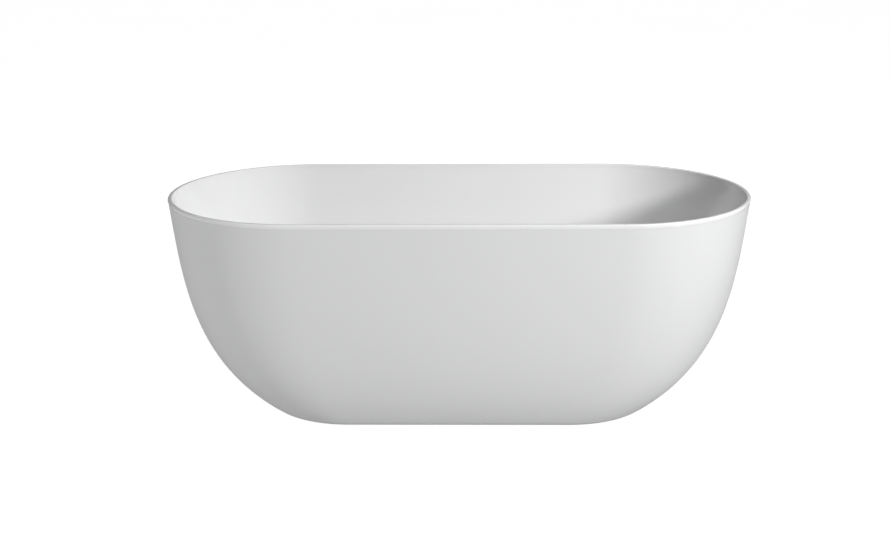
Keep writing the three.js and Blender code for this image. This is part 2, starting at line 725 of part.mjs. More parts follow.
function addPlug() {
  const cap = [
    [0, CAP.bossLow],
    [CAP.boss, CAP.bossLow],
    [CAP.boss, CAP.low],
    [CAP.radius - 1, CAP.low],
    [CAP.radius, CAP.low + 1],
    [CAP.radius, CAP.low + CAP.edge],
    [CAP.radius * 0.86, CAP.low + CAP.edge + 2.2],
    [CAP.radius / 2, CAP.low + CAP.dome - 0.9],
    [0, CAP.low + CAP.dome],
  ];
  const socket = post(STEM.radius + 2 * GAP, CAP.bossLow - 1, CAP.low + 2, STUD_FACETS);
  addMesh("plug_cap", cut(openTurned(cap, 24), socket), COLOURS.chrome);
  addMesh("plug_seal", tube(SEAL.outer, SEAL.inner, SEAL.low, SEAL.low + SEAL.high), COLOURS.rubber);
  addMesh("plug_stem", post(STEM.radius, STEM.low, CAP.low + 2 - GAP, STUD_FACETS), COLOURS.zinc);

  const { radius, low, high, collar, collarHigh, bore, boreLow } = CARTRIDGE;
  const cartridge = [
    [0, low],
    [radius, low],
    [radius, HUB.high + GAP],
    [collar, HUB.high + GAP],
    [collar, collarHigh],
    [radius, collarHigh],
    [radius, high],
    [bore, high],
    [bore, boreLow],
    [0, boreLow],
  ];
  addMesh("plug_cartridge", openTurned(cartridge, FEW), COLOURS.nylon);
  addSpring(high + GAP, CAP.bossLow - GAP);
}

// The spring's two ends are closed down by one wire's height, so it fits between its seats.
function addSpring(low, high) {
  class Coil extends THREE.Curve {
    getPoint(t, target = new THREE.Vector3()) {
      const angle = 2 * Math.PI * SPRING.turns * t;
      const z = low + SPRING.wire + 0.15 + (high - low - 2 * SPRING.wire - 0.3) * t;
      return target.set(SPRING.radius * Math.cos(angle), SPRING.radius * Math.sin(angle), z);
    }
  }
  const wire = new THREE.Shape().absarc(0, 0, SPRING.wire, 0, 2 * Math.PI);
  const swept = { extrudePath: new Coil(), steps: SPRING.turns * SPRING.stepsPerTurn, curveSegments: 3 };
  addMesh("plug_spring", new THREE.ExtrudeGeometry(wire, swept), COLOURS.zinc);
}

addApron();
addApronBacking();
addBasin();
addBasinBacking();
addBondBead();
addBoard();
addBars();
addScrews();
addTies();
FEET.forEach(([x, y], i) => addFoot(i + 1, x, y));
addWaste();
addPlug();
addOverflow();
addHose();
addClips();

export default tub;
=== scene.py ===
"""Freestanding bathtub: the fine surfaces, fittings and finishes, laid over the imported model."""

import math

import bmesh
import bpy
from bpy.props import FloatProperty, FloatVectorProperty, IntProperty, PointerProperty
from mathutils import Matrix, Vector


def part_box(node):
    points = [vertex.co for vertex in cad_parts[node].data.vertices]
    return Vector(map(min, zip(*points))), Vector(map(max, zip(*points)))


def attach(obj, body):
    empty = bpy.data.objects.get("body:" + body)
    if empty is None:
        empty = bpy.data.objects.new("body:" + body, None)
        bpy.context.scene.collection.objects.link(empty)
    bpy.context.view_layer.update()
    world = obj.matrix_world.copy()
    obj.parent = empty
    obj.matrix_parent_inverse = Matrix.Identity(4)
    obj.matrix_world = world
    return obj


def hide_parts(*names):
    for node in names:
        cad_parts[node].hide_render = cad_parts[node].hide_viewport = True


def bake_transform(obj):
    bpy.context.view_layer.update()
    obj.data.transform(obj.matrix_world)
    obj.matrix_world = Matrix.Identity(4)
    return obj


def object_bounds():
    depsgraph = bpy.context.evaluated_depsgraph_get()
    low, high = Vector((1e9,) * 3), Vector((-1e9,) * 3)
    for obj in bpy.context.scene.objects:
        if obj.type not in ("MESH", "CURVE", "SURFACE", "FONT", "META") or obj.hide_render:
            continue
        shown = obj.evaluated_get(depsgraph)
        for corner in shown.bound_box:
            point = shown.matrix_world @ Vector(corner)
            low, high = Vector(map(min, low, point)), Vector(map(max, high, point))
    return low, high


bl_info = {
    "name": "Freestanding Bathtub",
    "version": (1, 0, 0),
    "blender": (4, 5, 0),
    "location": "View3D > Sidebar > Bathtub",
    "description": "Builds a double-skinned freestanding bathtub with its feet, waste and overflow",
    "category": "Add Mesh",
}

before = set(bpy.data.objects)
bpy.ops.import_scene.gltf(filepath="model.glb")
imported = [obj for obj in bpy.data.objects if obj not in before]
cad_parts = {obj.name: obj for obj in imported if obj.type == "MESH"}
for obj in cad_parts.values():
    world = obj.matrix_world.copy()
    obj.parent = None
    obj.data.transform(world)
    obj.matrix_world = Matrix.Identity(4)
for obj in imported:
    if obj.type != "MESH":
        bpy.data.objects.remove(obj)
CAD_BOX = [list(corner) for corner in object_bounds()]
GAP = 0.0003


# ---------------------------------------------------------------- sizes and colours


def length_prop(name, description, default):
    """A size in metres that a user may change."""
    return FloatProperty(
        name=name, description=description, default=default, min=0.0, unit="LENGTH", precision=4
    )


def colour_prop(name, description, default):
    """A colour that a user may change."""
    return FloatVectorProperty(
        name=name, description=description, default=default, size=3, min=0.0, max=1.0, subtype="COLOR"
    )


class BathShape(bpy.types.PropertyGroup):
    """The sizes of the two skins of the tub."""

    length: length_prop("Length", "Length over the rim", CAD_BOX[1][0] - CAD_BOX[0][0])
    width: length_prop("Width", "Width over the rim", CAD_BOX[1][1] - CAD_BOX[0][1])
    height: length_prop("Height", "Floor to rim", CAD_BOX[1][2] - CAD_BOX[0][2])
    foot_length: length_prop("Footprint length", "Length of the apron at its bottom edge", 1.080)
    foot_width: length_prop("Footprint width", "Width of the apron at its bottom edge", 0.480)
    clear: length_prop("Floor clearance", "Height of the apron's bottom edge", 0.004)
    apron_wall: length_prop("Apron wall", "Thickness of the apron's acrylic", 0.0045)
    basin_wall: length_prop("Basin wall", "Thickness of the basin's acrylic", 0.005)
    rim_width: length_prop("Rim width", "Width of the turned edge", 0.012)
    nose: length_prop("Rim nose", "Height of the turned edge", 0.012)
    rim_outer: length_prop("Rim outer radius", "Rounding of the rim's outer edge", 0.005)
    rim_inner: length_prop("Rim inner radius", "Rounding of the rim's inner edge", 0.004)
    floor_z: length_prop("Floor height", "Height of the basin's floor at the waste", 0.150)
    fall: length_prop("Fall", "How far the floor falls towards the waste", 0.004)
    arc_steps: IntProperty(
        name="Arc steps", description="Segments in each rounded end", default=96, min=12, max=256
    )
    wall_steps: IntProperty(
        name="Wall steps", description="Rings up each wall", default=52, min=8, max=200
    )


class BathFinish(bpy.types.PropertyGroup):
    """The colours of the finishes."""

    # Painted light: the basin's white is set brighter and the apron's white darker than the one white
    # acrylic they share, standing in for a lit inside and a shaded outside; only their gloss and satin
    # finishes really differ.
    acrylic: colour_prop("Basin acrylic", "Polished white acrylic", (0.928, 0.930, 0.930))
    satin: colour_prop("Apron acrylic", "Satin white acrylic", (0.800, 0.804, 0.804))
    fibreglass: colour_prop("Fibreglass", "Sprayed glass fibre and resin", (0.62, 0.57, 0.42))
    adhesive: colour_prop("Adhesive", "Cured bonding paste", (0.50, 0.47, 0.37))
    plywood: colour_prop("Plywood", "Birch face veneer", (0.60, 0.42, 0.24))
    zinc: colour_prop("Zinc", "Bright zinc plate", (0.60, 0.61, 0.62))
    chrome: colour_prop("Chrome", "Polished chrome plate", (0.80, 0.81, 0.82))
    rubber: colour_prop("Rubber", "Black rubber", (0.022, 0.022, 0.023))
    plastic: colour_prop("White plastic", "Moulded polypropylene", (0.74, 0.74, 0.70))
    nylon: colour_prop("Nylon", "Moulded black nylon", (0.030, 0.031, 0.034))


class BathStage(bpy.types.PropertyGroup):
    """The floor, the lights and the camera."""

    lens: FloatProperty(name="Lens", description="Focal length in millimetres", default=57.34, min=1.0)
    distance: length_prop("Distance", "Camera to the middle of the tub", 4.014)
    azimuth: FloatProperty(
        name="Azimuth", description="Camera turn about the tub", default=math.radians(0.499),
        subtype="ANGLE",
    )
    elevation: FloatProperty(
        name="Elevation", description="Camera height angle", default=math.radians(17.421), subtype="ANGLE"
    )
    aim_turn: FloatProperty(
        name="Aim turn", description="Sideways turn of the camera", default=math.radians(0.577),
        subtype="ANGLE",
    )
    aim_drop: FloatProperty(
        name="Aim drop", description="Downward turn of the camera", default=math.radians(-1.028),
        subtype="ANGLE",
    )
    roll: FloatProperty(
        name="Roll", description="Camera roll", default=math.radians(-0.347), subtype="ANGLE"
    )
    key_power: FloatProperty(
        name="Key", description="Power of the key light in watts", default=112.0, min=0.0
    )
    front_power: FloatProperty(
        name="Front", description="Power of the front light in watts", default=15.0, min=0.0
    )
    back_power: FloatProperty(
        name="Back", description="Power of the light behind the tub in watts", default=45.0, min=0.0
    )
    glint_power: FloatProperty(
        name="Glint", description="Power of the small mirrored light in watts", default=2.0, min=0.0
    )
    high_power: FloatProperty(
        name="High", description="Power of the high light in watts", default=68.0, min=0.0
    )
    side_power: FloatProperty(
        name="Side", description="Power of the low side light in watts", default=45.0, min=0.0
    )
    fill: FloatProperty(name="Fill", description="Strength of the light all round", default=1.0, min=0.0)
    floor_glow: FloatProperty(
        name="Floor glow", description="Brightness of the floor in the picture", default=0.96, min=0.0
    )
    bounce_glow: FloatProperty(
        name="Bounce", description="Glow of the floor as the tub sees it", default=0.20, min=0.0
    )


# ---------------------------------------------------------------- shader arithmetic


class Wire:
    """A shader socket that takes part in Python arithmetic by adding Math nodes."""

    def __init__(self, graph, socket):
        self.graph = graph
        self.socket = socket

    def _math(self, operation, *values):
        sockets = dict(enumerate(values))
        return self.graph.add("ShaderNodeMath", {"operation": operation}, sockets)

    def __add__(self, other):
        return self._math("ADD", self, other)

    def __radd__(self, other):
        return self._math("ADD", other, self)

    def __sub__(self, other):
        return self._math("SUBTRACT", self, other)

    def __rsub__(self, other):
        return self._math("SUBTRACT", other, self)

    def __mul__(self, other):
        return self._math("MULTIPLY", self, other)

    def __rmul__(self, other):
        return self._math("MULTIPLY", other, self)

    def __truediv__(self, other):
        return self._math("DIVIDE", self, other)

    def __pow__(self, other):
        return self._math("POWER", self, other)

    def __gt__(self, other):
        return self._math("GREATER_THAN", self, other)

    def __lt__(self, other):
        return self._math("LESS_THAN", self, other)

    def __abs__(self):
        return self._math("ABSOLUTE", self)

    def clamped(self, low=0.0, high=1.0):
        """The value held between two limits."""
        return self.graph.add("ShaderNodeClamp", {}, {"Value": self, "Min": low, "Max": high})

    def ramp(self, low, high):
        """0 below low, 1 above high, and smooth between them."""
        settings = {"interpolation_type": "SMOOTHSTEP"}
        return self.graph.add(
            "ShaderNodeMapRange", settings, {"Value": self, "From Min": low, "From Max": high}
        )

    def sin(self):
        """The sine of the value."""
        return self._math("SINE", self)


class Graph:
    """A node tree and short ways to add to it."""

    def __init__(self, tree):
        self.tree = tree

    def add(self, kind, settings, sockets, out=0):
        """Adds a node, sets it, feeds its sockets and returns one of its outputs."""
        node = self.tree.nodes.new(kind)
        for key, value in settings.items():
            if key == "stops":
                self._stops(node, value)
            else:
                setattr(node, key, value)
        for key, value in sockets.items():
            target = node.inputs[key]
            if isinstance(value, Wire):
                self.tree.links.new(value.socket, target)
            else:
                target.default_value = value
        return Wire(self, node.outputs[out])

    @staticmethod
    def _stops(node, stops):
        elements = node.color_ramp.elements
        elements[0].position, elements[0].color = stops[0]
        elements[1].position, elements[1].color = stops[-1]
        for position, colour in stops[1:-1]:
            elements.new(position).color = colour

    def split(self, vector):
        """The three parts of a vector."""
        node = self.add("ShaderNodeSeparateXYZ", {}, {0: vector}).socket.node
        return [Wire(self, node.outputs[i]) for i in range(3)]


class Finish(Graph):
    """One material, fed from object coordinates."""

    def __init__(self, name):
        self.material = bpy.data.materials.new(name)
        self.material.use_nodes = True
        super().__init__(self.material.node_tree)
        self.shader = self.tree.nodes["Principled BSDF"]
        self.shader.distribution = "MULTI_GGX"
        self.place = self.add("ShaderNodeTexCoord", {}, {}, "Object")
        self.z = self.split(self.place)[2]

    def stretched(self, x, y, z):
        """Object coordinates scaled along each axis."""
        return self.add(
            "ShaderNodeVectorMath", {"operation": "MULTIPLY"}, {0: self.place, 1: (x, y, z)}, "Vector"
        )

    def noise(self, scale, detail=3.0, rough=0.5, vector=None, warp=0.0):
        """Cloudy noise from 0 to 1."""
        return self.add(
            "ShaderNodeTexNoise",
            {"noise_dimensions": "3D"},
            {
                "Vector": vector or self.place,
                "Scale": scale,
                "Detail": detail,
                "Roughness": rough,
                "Distortion": warp,
            },
        )

    def cells(self, scale, feature="F1", vector=None, out="Distance"):
        """Cell noise."""
        return self.add(
            "ShaderNodeTexVoronoi", {"feature": feature},
            {"Vector": vector or self.place, "Scale": scale}, out,
        )

    def mix(self, factor, first, second):
        """A blend of two colours."""
        rgba = [c if isinstance(c, Wire) else (*c, 1.0) for c in (first, second)]
        sockets = {0: factor, 6: rgba[0], 7: rgba[1]}
        return self.add("ShaderNodeMix", {"data_type": "RGBA"}, sockets, 2)

    def set(self, **constants):
        """Sets constants on the shader's own sockets."""
        for key, value in constants.items():
            name = key.replace("_", " ")
            target = next(s for s in self.shader.inputs if s.name.lower() == name.lower())
            target.default_value = (*value, 1.0) if isinstance(value, (tuple, list)) else value
        return self

    def feed(self, name, wire):
        """Links a varying value to one of the shader's sockets."""
        self.tree.links.new(wire.socket, self.shader.inputs[name])
        return self

    def bump(self, height, strength, distance):
        """Feeds a height to the shader's normal."""
        sockets = {"Height": height, "Strength": strength, "Distance": distance}
        return self.feed("Normal", self.add("ShaderNodeBump", {}, sockets))


def shade(colour, factor):
    """A colour made lighter or darker."""
    return tuple(min(1.0, c * factor) for c in colour)


def tinted(colour, tint):
    """A colour multiplied by another."""
    return tuple(c * t for c, t in zip(colour, tint))


# ---------------------------------------------------------------- finishes


def acrylic_finish(name, colour, rough, coat):
    """Cast acrylic sheet: near-flat white with a faint orange peel, wiping haze and fine scratches."""
    f = Finish(name)
    haze = f.noise(3.2, 4.0, 0.55, warp=0.6)
    cloud = f.noise(1.1, 2.0, 0.5)
    hair = f.noise(26.0, 5.0, 0.7, vector=f.stretched(7.0, 1.0, 1.6), warp=0.5)
    scratch = hair.ramp(0.66, 0.72)
    shaded = f.mix(cloud, shade(colour, 0.985), shade(colour, 1.01))
    warm = f.mix(haze.ramp(0.55, 0.8) * 0.25, shaded, tinted(colour, (0.985, 0.985, 0.98)))
    f.feed("Base Color", warm)
    f.feed("Roughness", (haze * 0.06 + scratch * 0.05 + (rough - 0.03)).clamped(0.02, 1.0))
    f.set(IOR=1.49, specular_ior_level=0.5, coat_weight=coat, coat_roughness=0.06, coat_ior=1.5)
    peel = f.noise(150.0, 2.0, 0.5) * 0.7 + f.noise(38.0, 2.0, 0.5)
    f.bump(peel + scratch * 0.15, 0.05, 0.0006)
    return f.material


def fibreglass_finish(colour):
    """Chopped strands in yellowish resin, with thin and thick patches."""
    f = Finish("fibreglass")
    strands = [
        f.cells(9.0, vector=f.stretched(*direction))
        for direction in ((2.0, 26.0, 12.0), (24.0, 3.0, 13.0), (13.0, 12.0, 3.0))
    ]
    mat = (1.0 - strands[0].ramp(0.0, 0.32)) + (1.0 - strands[1].ramp(0.0, 0.28)) + (
        1.0 - strands[2].ramp(0.0, 0.3)
    )
    lumps = f.noise(22.0, 5.0, 0.6, warp=0.8)
    patch = f.noise(4.0, 3.0, 0.5)
    resin = f.mix(patch, shade(colour, 0.72), shade(colour, 1.08))
    strand = f.mix((mat * 0.5).clamped(), resin, tinted(shade(colour, 1.25), (1.0, 1.02, 1.1)))
    f.feed("Base Color", strand)
    f.feed("Roughness", (0.62 - lumps * 0.3 + mat * 0.08).clamped(0.2, 0.9))
    f.set(IOR=1.52, coat_weight=0.15, coat_roughness=0.3)
    f.bump(mat * 0.3 + lumps, 0.45, 0.002)
    return f.material


def adhesive_finish(colour):
    """Trowelled bonding paste."""
    f = Finish("adhesive")
    lumps = f.noise(60.0, 4.0, 0.6, warp=1.0)
    f.feed("Base Color", f.mix(lumps, shade(colour, 0.8), shade(colour, 1.1)))
    f.feed("Roughness", 0.7 - lumps * 0.25)
    f.bump(lumps, 0.6, 0.002)
    return f.material


def plywood_finish(colour):
    """Birch plywood: long face grain, and a stack of alternating veneers along the edges."""
    f = Finish("plywood")
    rings = f.noise(5.5, 5.0, 0.62, vector=f.stretched(0.6, 7.0, 7.0), warp=0.9)
    fibre = f.noise(48.0, 3.0, 0.7, vector=f.stretched(0.35, 12.0, 12.0))
    face = f.mix(rings.ramp(0.3, 0.75), shade(colour, 1.12), tinted(shade(colour, 0.82), (1.0, 0.94, 0.86)))
    face = f.mix(fibre.ramp(0.5, 0.8) * 0.5, face, shade(colour, 0.6))
    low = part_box("base_board")[0][2]
    ply = ((f.z - low) * (2.0 * math.pi / 0.0040)).sin() * 0.5 + 0.5
    glue = ((f.z - low) * (2.0 * math.pi / 0.0020)).sin().ramp(0.9, 1.0)
    edge = f.mix(ply.ramp(0.35, 0.65), shade(colour, 0.62), shade(colour, 1.15))
    edge = f.mix(glue * 0.8, edge, shade(colour, 0.3))
    normal = f.add("ShaderNodeNewGeometry", {}, {}, "Normal")
    flat = abs(f.split(normal)[2]).ramp(0.55, 0.8)
    f.feed("Base Color", f.mix(flat, edge, face))
    f.feed("Roughness", fibre * 0.2 + 0.55)
    f.bump(fibre * 0.5 + rings * 0.3 + (1.0 - flat) * ply * 0.6, 0.35, 0.0008)
    return f.material


def zinc_finish(colour):
    """Bright zinc plate: a fine grain, cloudy brightness and a little pale bloom."""
    f = Finish("zinc_steel")
    grain = f.noise(900.0, 2.0, 0.6)
    cloud = f.noise(30.0, 4.0, 0.6, warp=0.7)
    bloom = f.noise(70.0, 5.0, 0.65).ramp(0.62, 0.78)
    tone = f.mix(cloud, shade(colour, 0.82), tinted(shade(colour, 1.12), (1.0, 0.995, 0.97)))
    f.feed("Base Color", f.mix(bloom * 0.35, tone, (0.72, 0.73, 0.74)))
    f.feed("Metallic", 1.0 - bloom * 0.3)
    f.feed("Roughness", (cloud * 0.22 + bloom * 0.25 + grain * 0.08 + 0.2).clamped(0.1, 0.9))
    f.bump(grain * 0.4 + cloud, 0.15, 0.0004)
    return f.material


def weld_finish(colour):
    """A weld bead under zinc plate."""
    f = Finish("weld")
    ripple = f.noise(420.0, 3.0, 0.6)
    f.feed("Base Color", f.mix(ripple, shade(colour, 0.55), shade(colour, 0.8)))
    f.feed("Roughness", ripple * 0.3 + 0.35)
    f.set(metallic=1.0)
    f.bump(ripple, 0.5, 0.0006)
    return f.material


def chrome_finish(colour):
    """Polished chrome plate with hairline wiping marks."""
    f = Finish("chrome")
    smear = f.noise(40.0, 4.0, 0.6, warp=0.5)
    hair = f.noise(260.0, 3.0, 0.7, vector=f.stretched(5.0, 1.0, 1.0)).ramp(0.68, 0.74)
    f.feed("Base Color", f.mix(smear, shade(colour, 0.97), shade(colour, 1.02)))
    f.feed("Roughness", (smear * 0.05 + hair * 0.08 + 0.03).clamped(0.02, 0.4))
    f.set(metallic=1.0)
    f.bump(smear, 0.02, 0.0003)
    return f.material


def rubber_finish(colour):
    """Black moulded rubber with a dusty bloom."""
    f = Finish("rubber")
    grain = f.noise(1500.0, 2.0, 0.6)
    dust = f.noise(60.0, 4.0, 0.6).ramp(0.5, 0.85)
    f.feed("Base Color", f.mix(dust * 0.35, colour, shade((0.12, 0.118, 0.113), 1.0)))
    f.feed("Roughness", dust * 0.12 + grain * 0.08 + 0.66)
    f.set(IOR=1.52, specular_ior_level=0.4)
    f.bump(grain, 0.3, 0.0002)
    return f.material


def moulded_finish(name, colour, rough):
    """Injection-moulded plastic: spark-eroded grain and faint flow marks."""
    f = Finish(name)
    grain = f.noise(1300.0, 2.0, 0.5)
    flow = f.noise(24.0, 3.0, 0.5, warp=1.4)
    f.feed("Base Color", f.mix(flow, shade(colour, 0.93), shade(colour, 1.05)))
    f.feed("Roughness", (flow * 0.12 + grain * 0.06 + rough - 0.08).clamped(0.05, 1.0))
    f.set(IOR=1.49)
    f.bump(grain * 0.6 + flow, 0.12, 0.0003)
    return f.material


FINISHES = {}


def finish(slot):
    """The material of a slot in the record, made when it is first wanted."""
    if slot not in FINISHES:
        c = bpy.context.scene.bath_finish
        makers = {
            # The two acrylic colours carry painted light: a brighter basin for the lit inside and a darker
            # apron for the shaded outside.
            "white_acrylic_gloss": lambda: acrylic_finish("acrylic_gloss", tuple(c.acrylic), 0.13, 0.5),
            "white_acrylic_satin": lambda: acrylic_finish("acrylic_satin", tuple(c.satin), 0.32, 0.12),
            "fibreglass": lambda: fibreglass_finish(tuple(c.fibreglass)),
            "adhesive": lambda: adhesive_finish(tuple(c.adhesive)),
            "plywood": lambda: plywood_finish(tuple(c.plywood)),
            "zinc_steel": lambda: zinc_finish(tuple(c.zinc)),
            "weld": lambda: weld_finish(tuple(c.zinc)),
            "chrome": lambda: chrome_finish(tuple(c.chrome)),
            "rubber": lambda: rubber_finish(tuple(c.rubber)),
            "white_plastic": lambda: moulded_finish("white_plastic", tuple(c.plastic), 0.42),
            "nylon": lambda: moulded_finish("nylon", tuple(c.nylon), 0.5),
        }
        FINISHES[slot] = makers[slot]()
    return FINISHES[slot]


# ---------------------------------------------------------------- mesh making

ACROSS, ALONG, UP = Vector((1, 0, 0)), Vector((0, 1, 0)), Vector((0, 0, 1))


def piece(name, bm, slot, body="tub", node=None, smooth_angle=35.0, place=None, weld=1e-6):
    """Turns a bmesh into a finished piece: welded, shaded, coloured, riding and standing for its node."""
    if weld:
        bmesh.ops.remove_doubles(bm, verts=bm.verts, dist=weld)
    bmesh.ops.dissolve_degenerate(bm, edges=bm.edges, dist=1e-7)
    bmesh.ops.recalc_face_normals(bm, faces=bm.faces)
    if place is not None:
        bm.transform(place)
    mesh = bpy.data.meshes.new(name)
    bm.to_mesh(mesh)
    bm.free()
    for polygon in mesh.polygons:
        polygon.use_smooth = True
    mesh.set_sharp_from_angle(angle=math.radians(smooth_angle))
    mesh.materials.append(finish(slot))
    obj = bpy.data.objects.new(name, mesh)
    bpy.context.scene.collection.objects.link(obj)
    if body:
        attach(obj, body)
    if node:
        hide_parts(*([node] if isinstance(node, str) else node))
    return obj


def skin(bm, outlines, loop=False, cap=False, wrap=True):
    """Joins equal outlines into bands. A loop joins the last to the first; a cap closes both ends."""
    rows = [[bm.verts.new(point) for point in outline] for outline in outlines]
    pairs = list(zip(rows, rows[1:])) + ([(rows[-1], rows[0])] if loop else [])
    count = len(rows[0])
    for lower, upper in pairs:
        for i in range(count if wrap else count - 1):
            j = (i + 1) % count
            corners = [lower[i], lower[j], upper[j], upper[i]]
            bm.faces.new(corners)
    if cap:
        bm.faces.new(list(reversed(rows[0])))
        bm.faces.new(rows[-1])
    return rows


def circle(radius, z, steps, centre=(0.0, 0.0), start=0.0):
    """Points of a level circle."""
    return [
        Vector(
            (
                centre[0] + radius * math.cos(start + 2 * math.pi * i / steps),
                centre[1] + radius * math.sin(start + 2 * math.pi * i / steps),
                z,
            )
        )
        for i in range(steps)
    ]


def turned(bm, profile, steps=64, loop=True, centre=(0.0, 0.0)):
    """A turned solid. A looped profile is closed; an open one starts and ends on the axis."""
    tiny = 1e-7
    outlines = [circle(max(r, tiny), z, steps, centre) for r, z in profile]
    skin(bm, outlines, loop=loop)


def rounded(profile, radius, steps=4, loop=True):
    """A profile with its corners turned into small arcs, so that edges catch the light."""
    result = []
    count = len(profile)
    for i, point in enumerate(profile):
        here = Vector(point)
        if not loop and i in (0, count - 1):
            result.append(tuple(here))
            continue
        before = Vector(profile[i - 1]) - here
        after = Vector(profile[(i + 1) % count]) - here
        if before.length < 1e-9 or after.length < 1e-9:
            continue
        turn = before.angle(after)
        if turn > math.radians(172):
            result.append(tuple(here))
            continue
        reach = min(radius / math.tan(turn / 2), before.length * 0.45, after.length * 0.45)
        start = here + before.normalized() * reach
        end = here + after.normalized() * reach
        for k in range(steps + 1):
            t = k / steps
            result.append(tuple(start * (1 - t) ** 2 + here * 2 * t * (1 - t) + end * t**2))
    return result


def ring_solid(bm, profile, radius=0.0003, steps=64, centre=(0.0, 0.0)):
    """A turned ring with eased edges."""
    turned(bm, rounded(profile, radius), steps, True, centre)


def prism(bm, outline, low, high, ease=0.0, steps=3):
    """An upright prism on a level outline, with eased top and bottom edges."""
    centre = sum((Vector(p) for p in outline), Vector((0, 0))) / len(outline)

    def inset(amount, z):
        points = []
        for p in outline:
            arm = Vector(p) - centre
            points.append(Vector((*(centre + arm * (1 - amount / max(arm.length, 1e-6))), z)))
        return points

    rings = []
    for k in range(steps + 1):
        turn = math.pi / 2 * k / steps
        rings.append(inset(ease * (1 - math.sin(turn)), low + ease * (1 - math.cos(turn))))
    for k in range(steps + 1):
        turn = math.pi / 2 * k / steps
        rings.append(inset(ease * (1 - math.cos(turn)), high - ease * (1 - math.sin(turn))))
    skin(bm, rings, cap=True)


def rail_frames(points):
    """Tangent, side and lift at each point of a path, turning as little as possible."""
    tangents = []
    for i in range(len(points)):
        ahead = points[min(i + 1, len(points) - 1)] - points[max(i - 1, 0)]
        tangents.append(ahead.normalized())
    side = tangents[0].orthogonal().normalized()
    frames = []
    for tangent in tangents:
        side = (side - tangent * side.dot(tangent)).normalized()
        frames.append((tangent, side, tangent.cross(side)))
    return frames


def hoop(centre, first, second, steps):
    """Points of an ellipse about a centre, with its two half axes given as vectors."""
    turns = (2 * math.pi * i / steps for i in range(steps))
    return [centre + first * math.cos(a) + second * math.sin(a) for a in turns]


def helix(section, hub, pitch, count, per_turn):
    """Rows of a ridge that climbs an upright axis; section gives its (radius, rise) pairs at a height."""
    rows = []
    for i in range(count):
        angle = 2 * math.pi * i / per_turn
        way = Vector((math.cos(angle), math.sin(angle), 0))
        at = hub + UP * (pitch * i / per_turn)
        rows.append([at + way * radius + UP * rise for radius, rise in section(at.z)])
    return rows


def swept(bm, points, radii, steps=24, cap=True):
    """A round section of varying radius along a path."""
    outlines = []
    for point, radius, (_, side, lift) in zip(points, radii, rail_frames(points)):
        outlines.append(hoop(point, side * radius, lift * radius, steps))
    return skin(bm, outlines, cap=cap)


def spline(points, per_span=16):
    """A smooth line through points."""
    result = []
    ends = [points[0] * 2 - points[1], *points, points[-1] * 2 - points[-2]]
    for i in range(1, len(ends) - 2):
        p0, p1, p2, p3 = ends[i - 1 : i + 3]
        for k in range(per_span):
            t = k / per_span
            result.append(
                0.5
                * (
                    2 * p1
                    + (p2 - p0) * t
                    + (2 * p0 - 5 * p1 + 4 * p2 - p3) * t * t
                    + (3 * p1 - p0 - 3 * p2 + p3) * t**3
                )
            )
    result.append(points[-1].copy())
    return result


def hexagon(corner, centre=(0.0, 0.0), start=math.pi / 2, per_side=6):
    """Points of a hexagon, several to a side."""
    middle = Vector(centre)
    corners = []
    for i in range(6):
        angle = start + math.pi / 3 * i
        corners.append(middle + Vector((math.cos(angle), math.sin(angle))) * corner)
    return [
        corners[i].lerp(corners[(i + 1) % 6], k / per_side) for i in range(6) for k in range(per_side)
    ]


def hex_nut(bm, corner, bore, low, high, centre=(0.0, 0.0)):
    """A hexagon nut: corners turned down at both ends, and a countersunk bore."""
    flats = hexagon(corner, centre)
    middle = Vector(centre)
    flat_radius = corner * math.cos(math.pi / 6)

    def outline(limit, z):
        points = []
        for p in flats:
            arm = p - middle
            points.append(Vector((*(middle + arm * min(1.0, limit / arm.length)), z)))
        return points

    def hole(radius, z):
        points = []
        for p in flats:
            arm = (p - middle).normalized()
            points.append(Vector((*(middle + arm * radius), z)))
        return points

    chamfer = (corner - flat_radius) * 0.58
    steps = [(flat_radius * 0.97, 0.0), (flat_radius, 0.06), (corner * 0.96, 0.55), (corner, 1.0)]
    rings = [outline(limit, low + chamfer * rise) for limit, rise in steps]
    rings += [outline(limit, high - chamfer * rise) for limit, rise in reversed(steps)]
    sink = 0.0006
    rings += [
        hole(bore + sink, high), hole(bore, high - sink), hole(bore, low + sink), hole(bore + sink, low)
    ]
    skin(bm, rings, loop=True)


def threaded(bm, radius, low, high, pitch, depth, centre=(0.0, 0.0), per_turn=24, ends=0.0015):
    """A rod with a real helical thread, cut down to a point at both ends."""
    turns = (high - low) / pitch
    rows = int(turns * 6)
    outlines = []
    for j in range(rows + 1):
        z = low + (high - low) * j / rows
        fade = min(1.0, (z - low) / ends, (high - z) / ends)
        outline = []
        for i in range(per_turn):
            angle = 2 * math.pi * i / per_turn
            phase = ((z - low) / pitch - i / per_turn) % 1.0
            ridge = abs(2 * phase - 1)
            cut = depth * (1 - min(1.0, max(0.0, 1.5 * ridge - 0.1)))
            r = radius - depth * (1 - fade) - cut * fade
            outline.append(
                Vector((centre[0] + r * math.cos(angle), centre[1] + r * math.sin(angle), z))
            )
        outlines.append(outline)
    skin(bm, outlines, cap=True)


# ---------------------------------------------------------------- the two skins


def bezier(points, s):
    """A point of a cubic curve in the plane."""
    r = 1 - s
    weights = (r**3, 3 * r * r * s, 3 * r * s * s, s**3)
    return tuple(sum(w * p[axis] for w, p in zip(weights, points)) for axis in (0, 1))


def share_at(height, target):
    """The share of a rising curve at which it reaches a height."""
    low, high = 0.0, 1.0
    for _ in range(40):
        middle = (low + high) / 2
        if height(middle) < target:
            low = middle
        else:
            high = middle
    return low


APRON_CURVE = ((0, 0), (0.865, 0.25), (0.9, 0.65), (1, 1))
END_HANDLES = ((0.630, 0.154), (0.735, 0.390))
SIDE_HANDLES = ((0.250, 0.154), (0.290, 0.400))
FLAT_HALF = (0.400, 0.130)


